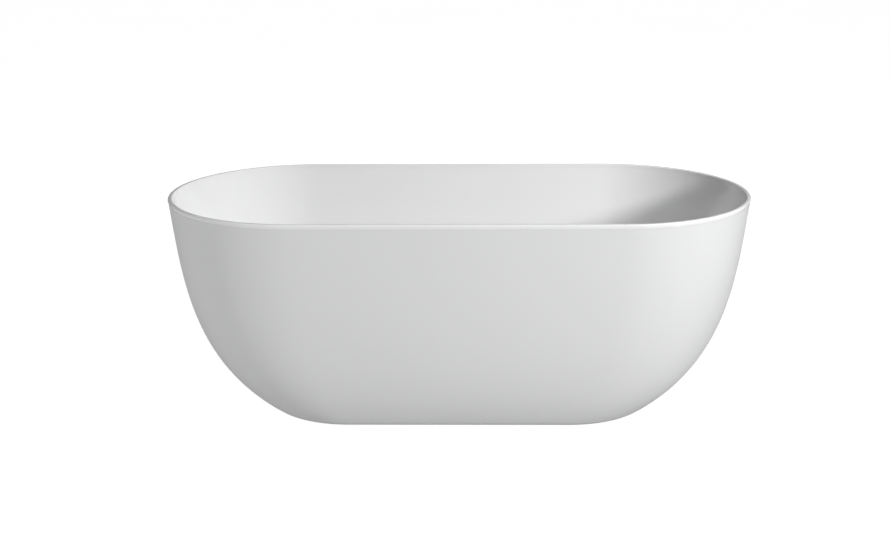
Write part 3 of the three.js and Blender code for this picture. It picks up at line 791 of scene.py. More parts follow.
def apron_ring(s, depth=0.0):
    """Half length, half width and height of the apron at a share of its curve."""
    p = bpy.context.scene.bath_shape
    tall = p.height - p.clear
    spread, rise = bezier(APRON_CURVE, s)
    low, high = max(0.0, s - 0.001), min(1.0, s + 0.001)
    steep = [b - a for a, b in zip(bezier(APRON_CURVE, low), bezier(APRON_CURVE, high))]
    up = tall * steep[1]

    def half(foot, full):
        out = (full - foot) / 2 * steep[0]
        return foot / 2 + (full - foot) / 2 * spread - depth * math.hypot(out, up) / up

    return half(p.foot_length, p.length), half(p.foot_width, p.width), p.clear + tall * rise


def basin_ring(s):
    """Half length, half width and height of the basin's wall at a share of its curve."""
    p = bpy.context.scene.bath_shape
    edge, top = p.floor_z + p.fall, p.height - p.rim_inner
    end = ((FLAT_HALF[0], edge), *END_HANDLES, (p.length / 2 - p.rim_width, top))
    side = ((FLAT_HALF[1], edge), *SIDE_HANDLES, (p.width / 2 - p.rim_width, top))
    a, z = bezier(end, s)
    share = share_at(lambda t: bezier(side, t)[1], z)
    return a, bezier(side, share)[0], z


def stadium(a, b, z):
    """A level ring of two half circles joined by straight sides."""
    steps = bpy.context.scene.bath_shape.arc_steps
    sides = 10
    straight = a - b
    points = []
    for way in (1, -1):
        for i in range(steps + 1):
            angle = -math.pi / 2 + math.pi * i / steps
            points.append(
                Vector((way * (straight + b * math.cos(angle)), way * b * math.sin(angle), z))
            )
        for i in range(1, sides):
            points.append(Vector((way * straight * (1 - 2 * i / sides), way * b, z)))
    return points


def even(count):
    """Shares from 0 to 1."""
    return [i / count for i in range(count + 1)]


def rim_arc(inset, z, radius, start, end, steps=8):
    """Rings round a quarter turn of the rim."""
    p = bpy.context.scene.bath_shape
    rings = []
    for t in even(steps):
        angle = math.radians(start + (end - start) * t)
        out = inset - radius * math.cos(angle)
        rings.append((p.length / 2 - out, p.width / 2 - out, z + radius * math.sin(angle)))
    return rings


def basin_skin(depth, limit):
    """Rings of the basin's floor and wall from the waste outwards, moved out and down by depth."""
    p = bpy.context.scene.bath_shape
    hole = 0.0378
    rings = []
    for t in even(10)[:-1]:
        rings.append(
            (
                hole + (FLAT_HALF[0] - hole) * t,
                hole + (FLAT_HALF[1] - hole) * t,
                p.floor_z + p.fall * (1 - (1 - t) ** 2),
            )
        )
    rings += [basin_ring(s) for s in even(p.wall_steps)]
    return [(a + depth, b + depth, min(z - depth, limit)) for a, b, z in rings]


def overflow_frame():
    """The overflow's place: Z into the basin, square to the front wall, and Y down the wall."""
    z = 0.480
    share = share_at(lambda s: basin_ring(s)[2], z)
    here, above = basin_ring(share), basin_ring(share + 0.01)
    lean = math.atan2(above[1] - here[1], above[2] - here[2])
    return Matrix.Translation((0, -here[1], here[2])) @ Matrix.Rotation(lean - math.pi / 2, 4, "X")


def cut(obj, bm, smooth_angle=35.0):
    """Takes the shape of a bmesh out of a piece."""
    bmesh.ops.remove_doubles(bm, verts=bm.verts, dist=1e-6)
    bmesh.ops.recalc_face_normals(bm, faces=bm.faces)
    mesh = bpy.data.meshes.new("cutter")
    bm.to_mesh(mesh)
    bm.free()
    cutter = bpy.data.objects.new("cutter", mesh)
    bpy.context.scene.collection.objects.link(cutter)
    modifier = obj.modifiers.new("cut", "BOOLEAN")
    modifier.operation = "DIFFERENCE"
    modifier.solver = "EXACT"
    modifier.object = cutter
    bpy.context.view_layer.update()
    result = bpy.data.meshes.new_from_object(obj.evaluated_get(bpy.context.evaluated_depsgraph_get()))
    obj.modifiers.clear()
    old = obj.data
    obj.data = result
    result.name = old.name
    bpy.data.meshes.remove(old)
    bpy.data.objects.remove(cutter)
    for polygon in result.polygons:
        polygon.use_smooth = True
    result.set_sharp_from_angle(angle=math.radians(smooth_angle))


def bored(obj, matrix, radius, low, high):
    """Drills a round hole through a piece."""
    bm = bmesh.new()
    turned(bm, [(0, low), (radius, low), (radius, high), (0, high)], 96, loop=False)
    bm.transform(matrix)
    cut(obj, bm)


def block(matrix, size, bevel=0.0):
    """A box to cut with, with its edges rounded by a share of its size."""
    bm = bmesh.new()
    bmesh.ops.create_cube(bm, size=1.0)
    if bevel:
        bmesh.ops.bevel(bm, geom=bm.edges[:], offset=bevel, segments=3, affect="EDGES")
    bm.transform(matrix @ Matrix.Diagonal((*size, 1)))
    return bm


class BATH_OT_basin(bpy.types.Operator):
    """Build the basin with its rolled rim"""

    bl_idname = "bath.basin"
    bl_label = "Basin"

    def execute(self, context):
        p = context.scene.bath_shape
        under = p.height - p.nose
        inside = basin_skin(0.0, p.height)
        outside = basin_skin(p.basin_wall, under)
        nose = apron_ring(share_at(lambda s: apron_ring(s)[2], under))
        rim = rim_arc(p.rim_width - p.rim_inner, p.height - p.rim_inner, p.rim_inner, 180, 90)[1:]
        rim += rim_arc(p.rim_outer, p.height - p.rim_outer, p.rim_outer, 90, 0)
        ease = 0.0002
        rim += [
            (nose[0], nose[1], under + ease),
            (nose[0] - ease * 0.3, nose[1] - ease * 0.3, under + ease * 0.3),
            (nose[0] - ease, nose[1] - ease, under),
        ]
        seat = p.floor_z - 0.0016
        ledge = [(0.027, 0.027, p.floor_z - p.basin_wall), (0.027, 0.027, seat), (0.0376, 0.0376, seat)]
        rings = ledge + inside + rim + outside[::-1]
        bm = bmesh.new()
        skin(bm, [stadium(*ring) for ring in rings], loop=True)
        obj = piece("basin_skin", bm, "white_acrylic_gloss", node="basin", smooth_angle=40)
        bored(obj, overflow_frame(), 0.024, -0.02, 0.02)
        return {"FINISHED"}


class BATH_OT_apron(bpy.types.Operator):
    """Build the curved outer apron with its returned bottom edge"""

    bl_idname = "bath.apron"
    bl_label = "Apron"

    def execute(self, context):
        p = context.scene.bath_shape
        top = share_at(lambda s: apron_ring(s)[2], p.height - p.nose - GAP)
        steps = even(p.wall_steps)
        lip_top = p.clear + p.apron_wall
        foot = apron_ring(0.0)
        ease = 0.0012
        outside = [apron_ring(top * s) for s in steps if apron_ring(top * s)[2] > p.clear + ease]
        inside = [apron_ring(top * s, p.apron_wall) for s in reversed(steps)]
        inside = [ring for ring in inside if ring[2] > lip_top + 0.001]
        lip_in = 0.020
        corner = apron_ring(share_at(lambda s: apron_ring(s)[2], lip_top), p.apron_wall)
        bottom = [
            (corner[0], corner[1], lip_top),
            (foot[0] - lip_in + ease, foot[1] - lip_in + ease, lip_top),
            (foot[0] - lip_in, foot[1] - lip_in, lip_top - ease),
            (foot[0] - lip_in, foot[1] - lip_in, p.clear + ease),
            (foot[0] - lip_in + ease, foot[1] - lip_in + ease, p.clear),
            (foot[0] - ease * 1.4, foot[1] - ease * 1.4, p.clear),
            (foot[0] - ease * 0.2, foot[1] - ease * 0.2, p.clear + ease * 0.35),
        ]
        bm = bmesh.new()
        skin(bm, [stadium(*ring) for ring in outside + inside + bottom], loop=True)
        piece("apron_skin", bm, "white_acrylic_satin", node="apron", smooth_angle=50)
        return {"FINISHED"}


class BATH_OT_backings(bpy.types.Operator):
    """Build the fibreglass behind both skins and the bead that joins them"""

    bl_idname = "bath.backings"
    bl_label = "Fibreglass and bond bead"

    def execute(self, context):
        p = context.scene.bath_shape
        self.apron_backing(p)
        self.basin_backing(p)
        self.bead(p)
        return {"FINISHED"}

    @staticmethod
    def apron_backing(p):
        low, high = (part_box("apron_backing")[i][2] for i in (0, 1))
        shares = [share_at(lambda s: apron_ring(s)[2], z) for z in (low, high)]
        near = p.apron_wall + GAP
        steps = [shares[0] + (shares[1] - shares[0]) * t for t in even(24)]
        front = [apron_ring(s, near) for s in steps]
        back = [apron_ring(s, near + 0.0025) for s in reversed(steps)]
        bm = bmesh.new()
        skin(bm, [stadium(*ring) for ring in front + back], loop=True)
        piece("apron_fibreglass", bm, "fibreglass", node="apron_backing")

    @staticmethod
    def basin_backing(p):
        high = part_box("basin_backing")[1][2]
        near = p.basin_wall + GAP
        far = near + 0.003
        front = [ring for ring in basin_skin(near, p.height) if ring[2] < high - 0.004]
        wall_start = 10
        back = [ring for ring in basin_skin(far, p.height)[wall_start:] if ring[2] < high - 0.004]
        bed = 0.140
        hole = [(0.027, 0.027, bed), (0.027, 0.027, p.floor_z - near)]
        under = [(*FLAT_HALF, bed), (0.2, 0.1, bed)]
        bm = bmesh.new()
        skin(bm, [stadium(*ring) for ring in hole + front + back[::-1] + under], loop=True)
        obj = piece("basin_fibreglass", bm, "fibreglass", node="basin_backing")
        bored(obj, overflow_frame(), 0.024, -0.03, 0.02)
        bored(obj, overflow_frame(), 0.033, -0.04, -0.0092)

    @staticmethod
    def bead(p):
        low, high = (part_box("rim_bond_bead")[i][2] for i in (0, 1))
        heights = [low + (high - low) * t for t in even(8)]

        def apron_side(z):
            a, b, _ = apron_ring(share_at(lambda s: apron_ring(s)[2], z), p.apron_wall + GAP)
            return a, b, z

        def basin_side(z):
            depth = p.basin_wall + GAP
            a, b, _ = basin_ring(share_at(lambda s: basin_ring(s)[2] - depth, z))
            return a + depth, b + depth, z

        middle = [(near + far) / 2 for near, far in zip(apron_side(low), basin_side(low))]
        sag = (middle[0], middle[1], low + 0.003)
        rings = [apron_side(z) for z in heights] + [basin_side(z) for z in reversed(heights)] + [sag]
        bm = bmesh.new()
        skin(bm, [stadium(*ring) for ring in rings], loop=True)
        piece("bond_bead", bm, "adhesive", node="rim_bond_bead")


# ---------------------------------------------------------------- board, bars, screws and straps

FEET = {
    number: tuple(
        (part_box(f"foot_{number}_sole")[0][i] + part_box(f"foot_{number}_sole")[1][i]) / 2 for i in (0, 1)
    )
    for number in range(1, 6)
}
STUD_RADIUS = 0.006
THREAD_PITCH = 0.00175


class BATH_OT_board(bpy.types.Operator):
    """Build the plywood board under the basin"""

    bl_idname = "bath.board"
    bl_label = "Base board"

    def execute(self, context):
        low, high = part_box("base_board")
        corner, ease = 0.040, 0.0012
        x, y = high[0] - corner, high[1] - corner
        steps = 16

        def outline(inset, z):
            points = []
            for k, (cx, cy) in enumerate(((x, y), (-x, y), (-x, -y), (x, -y))):
                for i in range(steps + 1):
                    angle = math.pi / 2 * (k + i / steps)
                    r = corner - inset
                    points.append(Vector((cx + r * math.cos(angle), cy + r * math.sin(angle), z)))
            return points

        bm = bmesh.new()
        rings = [
            outline(ease, low[2]),
            outline(0, low[2] + ease),
            outline(0, high[2] - ease),
            outline(ease, high[2]),
        ]
        skin(bm, rings, cap=True)
        board = piece("plywood_board", bm, "plywood", node="base_board", smooth_angle=30)
        bored(board, Matrix(), 0.058, low[2] - 0.01, high[2] + 0.01)
        bored(board, Matrix.Translation((*FEET[3], 0)), 0.010, low[2] - 0.01, high[2] + 0.01)
        for polygon in board.data.polygons:
            polygon.use_smooth = False
        return {"FINISHED"}


def section_bar(bm, half, width, low, high, wall, radius):
    """A rectangular tube along Y with rounded corners, open at both ends."""

    def corners(w, base, top, r):
        points = []
        for k, (cx, cz) in enumerate(
            ((w / 2 - r, top - r), (-w / 2 + r, top - r), (-w / 2 + r, base + r), (w / 2 - r, base + r))
        ):
            for i in range(7):
                angle = math.pi / 2 * (k + i / 6)
                points.append((cx + r * math.cos(angle), cz + r * math.sin(angle)))
        return points

    outer = corners(width, low, high, radius)
    inner = corners(width - 2 * wall, low + wall, high - wall, max(radius - wall, 0.0004))
    rings = []
    for outline, ys in ((outer, (-half, half)), (inner, (half, -half))):
        for y in ys:
            rings.append([Vector((x, y, z)) for x, z in outline])
    skin(bm, rings, loop=True)


class BATH_OT_bars(bpy.types.Operator):
    """Build the steel bars with their welded nuts"""

    bl_idname = "bath.bars"
    bl_label = "Foot bars"

    def execute(self, context):
        nut_high, corner, bore = 0.010, 0.011, 0.0064
        for end, feet in (("left", (1, 2)), ("middle", (3,)), ("right", (4, 5))):
            node = f"foot_bar_{end}"
            low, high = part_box(node)
            bottom = low[2] + nut_high
            x = (low[0] + high[0]) / 2
            bm = bmesh.new()
            section_bar(bm, high[1], high[0] - low[0], bottom, high[2], 0.0025, 0.0035)
            bar = piece(f"bar_{end}", bm, "zinc_steel", node=node, place=Matrix.Translation((x, 0, 0)))
            for number in feet:
                cx, cy = FEET[number]
                spot = Matrix.Translation((cx, cy, 0))
                bored(bar, spot, 0.0066, bottom - 0.002, high[2] + 0.002)
                nut = bmesh.new()
                hex_nut(nut, corner, bore, low[2], bottom - 0.00002, (cx, cy))
                piece(f"weld_nut_{number}", nut, "zinc_steel", smooth_angle=25)
                self.bead(f"weld_bead_{number}", cx, cy, corner, bottom)
            for y in (-0.105, 0.105):
                bored(bar, Matrix.Translation((x, y, 0)), 0.0025, bottom - 0.002, bottom + 0.004)
        return {"FINISHED"}

    @staticmethod
    def bead(name, cx, cy, corner, z):
        """Weld metal in the angle between a nut's flats and the bar."""
        bm = bmesh.new()
        for side in range(6):
            if side % 3 == 2:
                continue
            angle = math.pi / 2 + math.pi / 3 * side
            ends = [Vector((cx + corner * 0.97 * math.cos(a), cy + corner * 0.97 * math.sin(a), z - 0.0009))
                    for a in (angle, angle + math.pi / 3)]
            points = [ends[0].lerp(ends[1], t) for t in even(28)]
            radii = [
                (0.0016 + 0.00022 * math.sin(t * 60) + 0.0001 * math.sin(t * 23 + side))
                * min(1.0, 0.35 + 6 * min(t, 1 - t))
                for t in even(28)
            ]
            swept(bm, points, radii, 12)
        piece(name, bm, "weld", smooth_angle=60)


class BATH_OT_screws(bpy.types.Operator):
    """Build the pan-head screws that hold the bars to the board"""

    bl_idname = "bath.screws"
    bl_label = "Board screws"

    def execute(self, context):
        for number in range(1, 7):
            node = f"board_screw_{number}"
            low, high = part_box(node)
            centre = ((low[0] + high[0]) / 2, (low[1] + high[1]) / 2)
            bm = bmesh.new()
            head, base = 0.0045, low[2]
            top = base + 0.0024
            profile = [(0, base + 0.0011), (0.0012, base + 0.0009), (0.0013, base)]
            profile += [
                (
                    head * math.sin(t * math.pi / 2) * 0.98 + 0.0001,
                    base + 0.0016 * (1 - math.cos(t * math.pi / 2)),
                )
                for t in even(8) if head * math.sin(t * math.pi / 2) > 0.0014
            ]
            profile += [(head, top), (0.0020, top), (0.0020, high[2] - 0.004), (0, high[2])]
            turned(bm, profile, 40, loop=False, centre=centre)
            screw = piece(f"screw_{number}", bm, "zinc_steel", node=node, smooth_angle=30)
            self.recess(screw, centre, base)
            start, stop, pitch, per_turn = top + 0.021, high[2] - 0.002, 0.0016, 16

            def ridge(z, stop=stop):
                reach = 0.0026 * min(1.0, 0.7 + (stop - z) / 0.004)
                return (0.0018, 0.0003), (reach, 0.0), (0.0018, -0.0003)

            count = int((stop - start) / pitch * per_turn) + 1
            thread = bmesh.new()
            skin(thread, helix(ridge, Vector((*centre, start)), pitch, count, per_turn), cap=True)
            piece(f"screw_thread_{number}", thread, "zinc_steel")
        return {"FINISHED"}

    @staticmethod
    def recess(screw, centre, base):
        """Cuts a cross recess into the head."""
        for turn in (0, math.pi / 2):
            place = Matrix.Translation((*centre, base)) @ Matrix.Rotation(turn, 4, "Z")
            cut(screw, block(place, (0.0042, 0.0009, 0.0030)), 30.0)


class BATH_OT_straps(bpy.types.Operator):
    """Build the bent straps from the end bars to the apron"""

    bl_idname = "bath.straps"
    bl_label = "Apron straps"

    def execute(self, context):
        for end in ("left", "right"):
            for side, way in (("front", -1), ("back", 1)):
                node = f"apron_tie_{side}_{end}"
                low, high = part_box(node)
                self.strap(node, low, high, way)
        return {"FINISHED"}

    @staticmethod
    def strap(node, low, high, way):
        thick, bend = 0.003, 0.008
        half = (high[0] - low[0]) / 2
        x = (low[0] + high[0]) / 2
        base, top = low[2], high[2]
        start = min(abs(low[1]), abs(high[1]))
        reach = max(abs(low[1]), abs(high[1]))
        shape = bpy.context.scene.bath_shape
        clear = shape.apron_wall + 0.0025 + 0.0014

        def wall(z):
            return apron_ring(share_at(lambda s: apron_ring(s)[2], z), clear)[1]

        head = min(reach - 0.0002, wall(top))
        foot = min(wall(base) - 0.0006, head - 0.012)
        line = [Vector((start, base)), Vector((foot, base)), Vector((head, top))]
        outer = rounded([tuple(v) for v in line], bend + thick, 10, loop=False)
        rows = []
        for i, point in enumerate(outer):
            here = Vector(point)
            before = Vector(outer[max(i - 1, 0)])
            after = Vector(outer[min(i + 1, len(outer) - 1)])
            run = (after - before).normalized()
            inner = here + Vector((-run.y, run.x)) * thick
            rows.append((here, inner))
        bm = bmesh.new()
        rings = []
        for here, inner in rows:
            corners = ((-1, here), (1, here), (1, inner), (-1, inner))
            rings.append([Vector((x + sx * half, way * p.x, p.y)) for sx, p in corners])
        skin(bm, rings, cap=True)
        obj = piece(node.replace("tie", "strap"), bm, "zinc_steel", node=node, smooth_angle=30)
        bored(obj, Matrix.Translation((x, way * abs(FEET[1][1]), 0)), 0.009, base - 0.002, base + 0.005)
        bevel = obj.modifiers.new("eased", "BEVEL")
        bevel.width = 0.0005
        bevel.segments = 2
        bevel.limit_method = "ANGLE"
        crown = base + thick
        profile = [
            (0, crown + 0.0014), (0.0016, crown + 0.0013), (0.0030, crown + 0.0007),
            (0.0034, crown + 0.0001),
        ]
        profile += [(0.0034, base + 0.0004), (0, base + 0.0004)]
        rivet = bmesh.new()
        turned(rivet, profile, 32, loop=False, centre=(x, way * (start + 0.007)))
        piece(node.replace("tie", "rivet"), rivet, "zinc_steel", smooth_angle=50)


# ---------------------------------------------------------------- feet


class BATH_OT_feet(bpy.types.Operator):
    """Build the five screw feet"""

    bl_idname = "bath.feet"
    bl_label = "Screw feet"

    def execute(self, context):
        for number, (cx, cy) in FEET.items():
            pad = f"foot_{number}"
            screw = f"foot_{number}_screw"
            self.sole(number, pad, cx, cy)
            self.cup(number, pad, cx, cy)
            self.stud(number, screw, cx, cy)
            node = f"foot_{number}_lock_nut"
            low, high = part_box(node)
            bm = bmesh.new()
            hex_nut(bm, 0.011, 0.0064, low[2], high[2], (cx, cy))
            piece(f"lock_nut_{number}", bm, "zinc_steel", node=node, smooth_angle=25)
        return {"FINISHED"}

    @staticmethod
    def sole(number, body, cx, cy):
        """A rubber disc with grooves round its edge and rings under it."""
        _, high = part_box(f"foot_{number}_sole")
        top = high[2]
        profile = [(0, 0.0009)]
        for r in (0.005, 0.010, 0.015, 0.020):
            profile += [(r - 0.0012, 0.0009), (r - 0.0006, 0), (r + 0.0016, 0), (r + 0.0022, 0.0009)]
        profile += [
            (0.0236, 0.0009), (0.0240, 0), (0.0251, 0), (0.026, 0.0009), (0.026, 0.0021),
            (0.0254, 0.0025), (0.0254, 0.0033), (0.026, 0.0037), (0.026, top - 0.0006), (0.0254, top),
            (0, top),
        ]
        bm = bmesh.new()
        turned(bm, profile, 72, loop=False, centre=(cx, cy))
        piece(f"sole_{number}", bm, "rubber", body, node=f"foot_{number}_sole", smooth_angle=40)

    @staticmethod
    def cup(number, body, cx, cy):
        """A nylon cup: a dished base, eight ribs and a socket for the stud."""
        low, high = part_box(f"foot_{number}_cup")
        base, top = low[2], high[2]
        bore = STUD_RADIUS + 0.0005
        socket = 0.012 - GAP
        profile = [
            (0, base), (0.0244, base), (0.025, base + 0.0006), (0.025, base + 0.0024),
            (0.0244, base + 0.003), (0.0150, base + 0.0046), (0.0118, base + 0.0075),
            (0.0112, top - 0.0006), (0.0106, top), (bore + 0.0005, top), (bore, top - 0.0005),
            (bore, socket), (0, socket),
        ]
        bm = bmesh.new()
        turned(bm, profile, 72, loop=False, centre=(cx, cy))
        for i in range(8):
            angle = math.pi / 4 * i + math.pi / 8
            way = Vector((math.cos(angle), math.sin(angle), 0))
            side = Vector((-way.y, way.x, 0)) * 0.0009
            hub = Vector((cx, cy, 0))
            outline = [
                (0.0105, base + 0.002), (0.0235, base + 0.002), (0.0232, base + 0.0038),
                (0.0125, top - 0.0016), (0.0105, top - 0.0012),
            ]
            rows = [[hub + way * r + Vector((0, 0, z)) + side * k for r, z in outline] for k in (-1, 1)]
            skin(bm, rows, cap=True)
        piece(f"cup_{number}", bm, "nylon", body, node=f"foot_{number}_cup", smooth_angle=35, weld=1e-7)

    @staticmethod
    def stud(number, body, cx, cy):
        """A threaded stud with a hexagon to turn it by."""
        low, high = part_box(f"foot_{number}_stud")
        bm = bmesh.new()
        threaded(bm, STUD_RADIUS, 0.0305, high[2], THREAD_PITCH, 0.0008, (cx, cy))
        turned(
            bm,
            rounded(
                [(0, low[2]), (STUD_RADIUS, low[2]), (STUD_RADIUS, 0.0240), (0, 0.0240)], 0.0008, 4,
                False,
            ),
            48, loop=False, centre=(cx, cy),
        )
        hexed = bmesh.new()
        hex_nut(hexed, 0.0098, 0.0050, 0.023, 0.031, (cx, cy))
        mesh = bpy.data.meshes.new("part")
        hexed.to_mesh(mesh)
        hexed.free()
        bm.from_mesh(mesh)
        bpy.data.meshes.remove(mesh)
        piece(
            f"stud_{number}", bm, "zinc_steel", body, node=f"foot_{number}_stud", smooth_angle=28,
            weld=1e-7,
        )


# ---------------------------------------------------------------- waste and plug


class BATH_OT_waste(bpy.types.Operator):
    """Build the waste flange, its gaskets, body and nut"""

    bl_idname = "bath.waste"
    bl_label = "Waste"

    def execute(self, context):
        self.flange()
        for node, inner, outer in (
            ("waste_gasket_upper", 0.0276, 0.0340), ("waste_gasket_lower", 0.0255, 0.0370)
        ):
            low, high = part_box(node)
            bm = bmesh.new()
            ring_solid(bm, [(inner, low[2]), (outer, low[2]), (outer, high[2]), (inner, high[2])], 0.0005)
            piece(node.replace("waste_", ""), bm, "rubber", node=node)
        self.body()
        low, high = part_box("waste_nut")
        bm = bmesh.new()
        hex_nut(bm, 0.035, 0.0244, low[2], high[2])
        piece("back_nut", bm, "white_plastic", node="waste_nut", smooth_angle=25)
        return {"FINISHED"}

    @staticmethod
    def flange():
        low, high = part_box("waste_flange")
        top = high[2]
        under = top - 0.0026
        bore, tube = 0.019, 0.024
        profile = [
            (bore, 0.0505), (bore + 0.0006, low[2]), (tube - 0.0008, low[2]), (tube, low[2] + 0.0008)
        ]
        profile += [(tube, under), (0.0349, under), (0.035, under + 0.0004), (0.035, under + 0.0010)]
        profile += [
            (
                0.0334 + 0.0016 * math.cos(t * math.pi / 2),
                under + 0.0010 + 0.0016 * math.sin(t * math.pi / 2),
            )
            for t in even(6)[1:]
        ]
        profile += [
            (0.0272, top), (0.0262, top - 0.0003), (0.0205, under - 0.0028),
            (bore + 0.0002, under - 0.0035), (bore, under - 0.0042),
        ]
        bm = bmesh.new()
        turned(bm, profile, 96)
        obj = piece("flange", bm, "chrome", node="waste_flange", smooth_angle=32)
        for turn in (0, math.pi / 2):
            place = Matrix.Translation((0, 0, 0.094)) @ Matrix.Rotation(turn, 4, "Z")
            cut(obj, block(place, (0.072, 0.014, 0.020), bevel=0.12), 32.0)
        spider = bmesh.new()
        ring_solid(spider, [(0.0053, 0.116), (0.009, 0.116), (0.009, 0.122), (0.0053, 0.122)], 0.0005)
        for i in range(4):
            angle = math.pi / 2 * i
            way = Vector((math.cos(angle), math.sin(angle), 0))
            side = Vector((-way.y, way.x, 0))
            rings = []
            for r in (0.0086, 0.0192):
                rings.append(hoop(way * r + UP * 0.119, side * 0.002, UP * 0.0030, 16))
            skin(spider, rings, cap=True)
        piece("flange_spider", spider, "chrome", smooth_angle=40, weld=1e-7)
        pitch, start, stop, per_turn = 0.0023, 0.0535, 0.0605, 48
        count = int((stop - start) / pitch * per_turn)
        ridge = ((0.02395, 0.0008), (0.02395, -0.0008), (0.02425, 0.0))
        thread = bmesh.new()
        skin(thread, helix(lambda z: ridge, UP * start, pitch, count, per_turn), cap=True)
        piece("flange_thread", thread, "chrome", smooth_angle=60)

    @staticmethod
    def body():
        low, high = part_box("waste_body")
        base, top = low[2], high[2]
        bore, wall, lip = 0.0246, 0.030, 0.038
        profile = [
            (bore, base + 0.0006), (bore + 0.0006, base), (wall - 0.0006, base), (wall, base + 0.0006),
            (wall, top - 0.0062), (wall + 0.0016, top - 0.0044), (lip - 0.0008, top - 0.0044),
            (lip, top - 0.0036), (lip, top - 0.0005), (lip - 0.0005, top), (bore, top), (bore, 0.108),
            (0.0275, 0.104), (0.0275, 0.084), (bore, 0.080),
        ]
        bm = bmesh.new()
        turned(bm, profile, 80)
        branch = 0.094
        line = [Vector((0, -y, branch)) for y in (0.0285, 0.040, 0.0598, 0.0612, 0.0620, 0.0628)]
        radii = [0.0165, 0.015, 0.015, 0.0146, 0.0120, 0.0106]
        rows = list(zip(line, radii))
        for k in range(4):
            y = 0.066 + 0.005 * k
            rows += [
                (Vector((0, -y, branch)), 0.0098), (Vector((0, -(y + 0.0040), branch)), 0.0106),
                (Vector((0, -(y + 0.0042), branch)), 0.0098),
            ]
        rows += [(Vector((0, -0.0868, branch)), 0.0098), (Vector((0, -0.088, branch)), 0.0092)]
        rows += [(Vector((0, -0.088, branch)), 0.0085), (Vector((0, -0.032, branch)), 0.0085)]
        outlines = []
        for point, radius in rows:
            outlines.append(hoop(point, ACROSS * radius, UP * radius, 40))
        skin(bm, outlines, cap=True)
        for i in range(6):
            angle = math.pi / 3 * i + math.pi / 6
            if abs(math.sin(angle) + 1) < 0.2:
                continue
            way = Vector((math.cos(angle), math.sin(angle), 0))
            side = Vector((-way.y, way.x, 0)) * 0.0011
            outline = [
                (0.0295, top - 0.0044), (0.0368, top - 0.0044), (0.0305, base + 0.026),
                (0.0295, base + 0.026),
            ]
            skin(
                bm, [[way * r + Vector((0, 0, z)) + side * k for r, z in outline] for k in (-1, 1)],
                cap=True,
            )
        piece("waste_housing", bm, "white_plastic", node="waste_body", smooth_angle=35, weld=1e-7)


class BATH_OT_plug(bpy.types.Operator):
    """Build the pop-up plug, its stem, spring and cartridge"""

    bl_idname = "bath.plug"
    bl_label = "Pop-up plug"

    def execute(self, context):
        low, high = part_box("plug_cap")
        seal_low, seal_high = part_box("plug_seal")
        base = seal_high[2] + GAP
        edge = base + 0.0035
        profile = [
            (0.0036, base + 0.002), (0.0036, low[2] + 0.0006), (0.0042, low[2]), (0.0055, low[2]),
            (0.006, low[2] + 0.0006), (0.006, base - 0.001), (0.0075, base), (0.0300, base),
            (0.0307, base + 0.0004), (0.031, base + 0.0012),
        ]
        rise = high[2] - edge
        profile += [
            (
                0.031 * math.cos(t * math.pi / 2 * 0.999),
                edge - 0.0008 + (rise + 0.0008) * math.sin(t * math.pi / 2),
            )
            for t in even(24)
        ]
        profile[-1] = (0, high[2])
        bm = bmesh.new()
        turned(bm, [(0, base + 0.002)] + profile, 96, loop=False)
        piece("cap", bm, "chrome", "plug", node="plug_cap", smooth_angle=32)
        bm = bmesh.new()
        lip = seal_low[2]
        ring_solid(bm, [(0.024, lip + 0.001), (0.0262, lip + 0.0004), (0.0284, lip), (0.029, lip + 0.0006),
                        (0.0276, seal_high[2]), (0.024, seal_high[2])], 0.0003, 80)
        piece("seal", bm, "rubber", "plug", node="plug_seal")
        low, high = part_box("plug_stem")
        bm = bmesh.new()
        turned(
            bm,
            rounded([(0, low[2]), (0.003, low[2]), (0.003, high[2]), (0, high[2])], 0.0005, 4, False),
            40, False,
        )
        piece("stem", bm, "zinc_steel", "plug", node="plug_stem")
        self.cartridge()
        self.spring()
        return {"FINISHED"}

    @staticmethod
    def cartridge():
        low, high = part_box("plug_cartridge")
        r, collar, hub = 0.005, 0.0075, 0.122 + GAP
        profile = [
            (0, low[2]), (r - 0.0005, low[2]), (r, low[2] + 0.0005), (r, hub), (collar - 0.0004, hub),
            (collar, hub + 0.0004), (collar, 0.1256), (collar - 0.0004, 0.126), (r, 0.1262),
            (r, high[2] - 0.0004), (r - 0.0004, high[2]), (0.0038, high[2]), (0.0036, high[2] - 0.0003),
            (0.0036, 0.1115), (0, 0.1115),
        ]
        bm = bmesh.new()
        turned(bm, profile, 48, loop=False)
        piece("cartridge", bm, "nylon", node="plug_cartridge")

    @staticmethod
    def spring():
        low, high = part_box("plug_spring")
        turns, wire = 4.5, 0.0006
        points = []
        count = 240
        for i in range(count + 1):
            t = i / count
            angle = 2 * math.pi * turns * t
            z = low[2] + wire + (high[2] - low[2] - 2 * wire) * t
            points.append(Vector((0.005 * math.cos(angle), 0.005 * math.sin(angle), z)))
        bm = bmesh.new()
        swept(bm, points, [wire * 0.97] * len(points), 10)
        obj = piece("spring", bm, "zinc_steel", None, node="plug_spring", smooth_angle=60)
        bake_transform(obj)


# ---------------------------------------------------------------- overflow, hose and clips


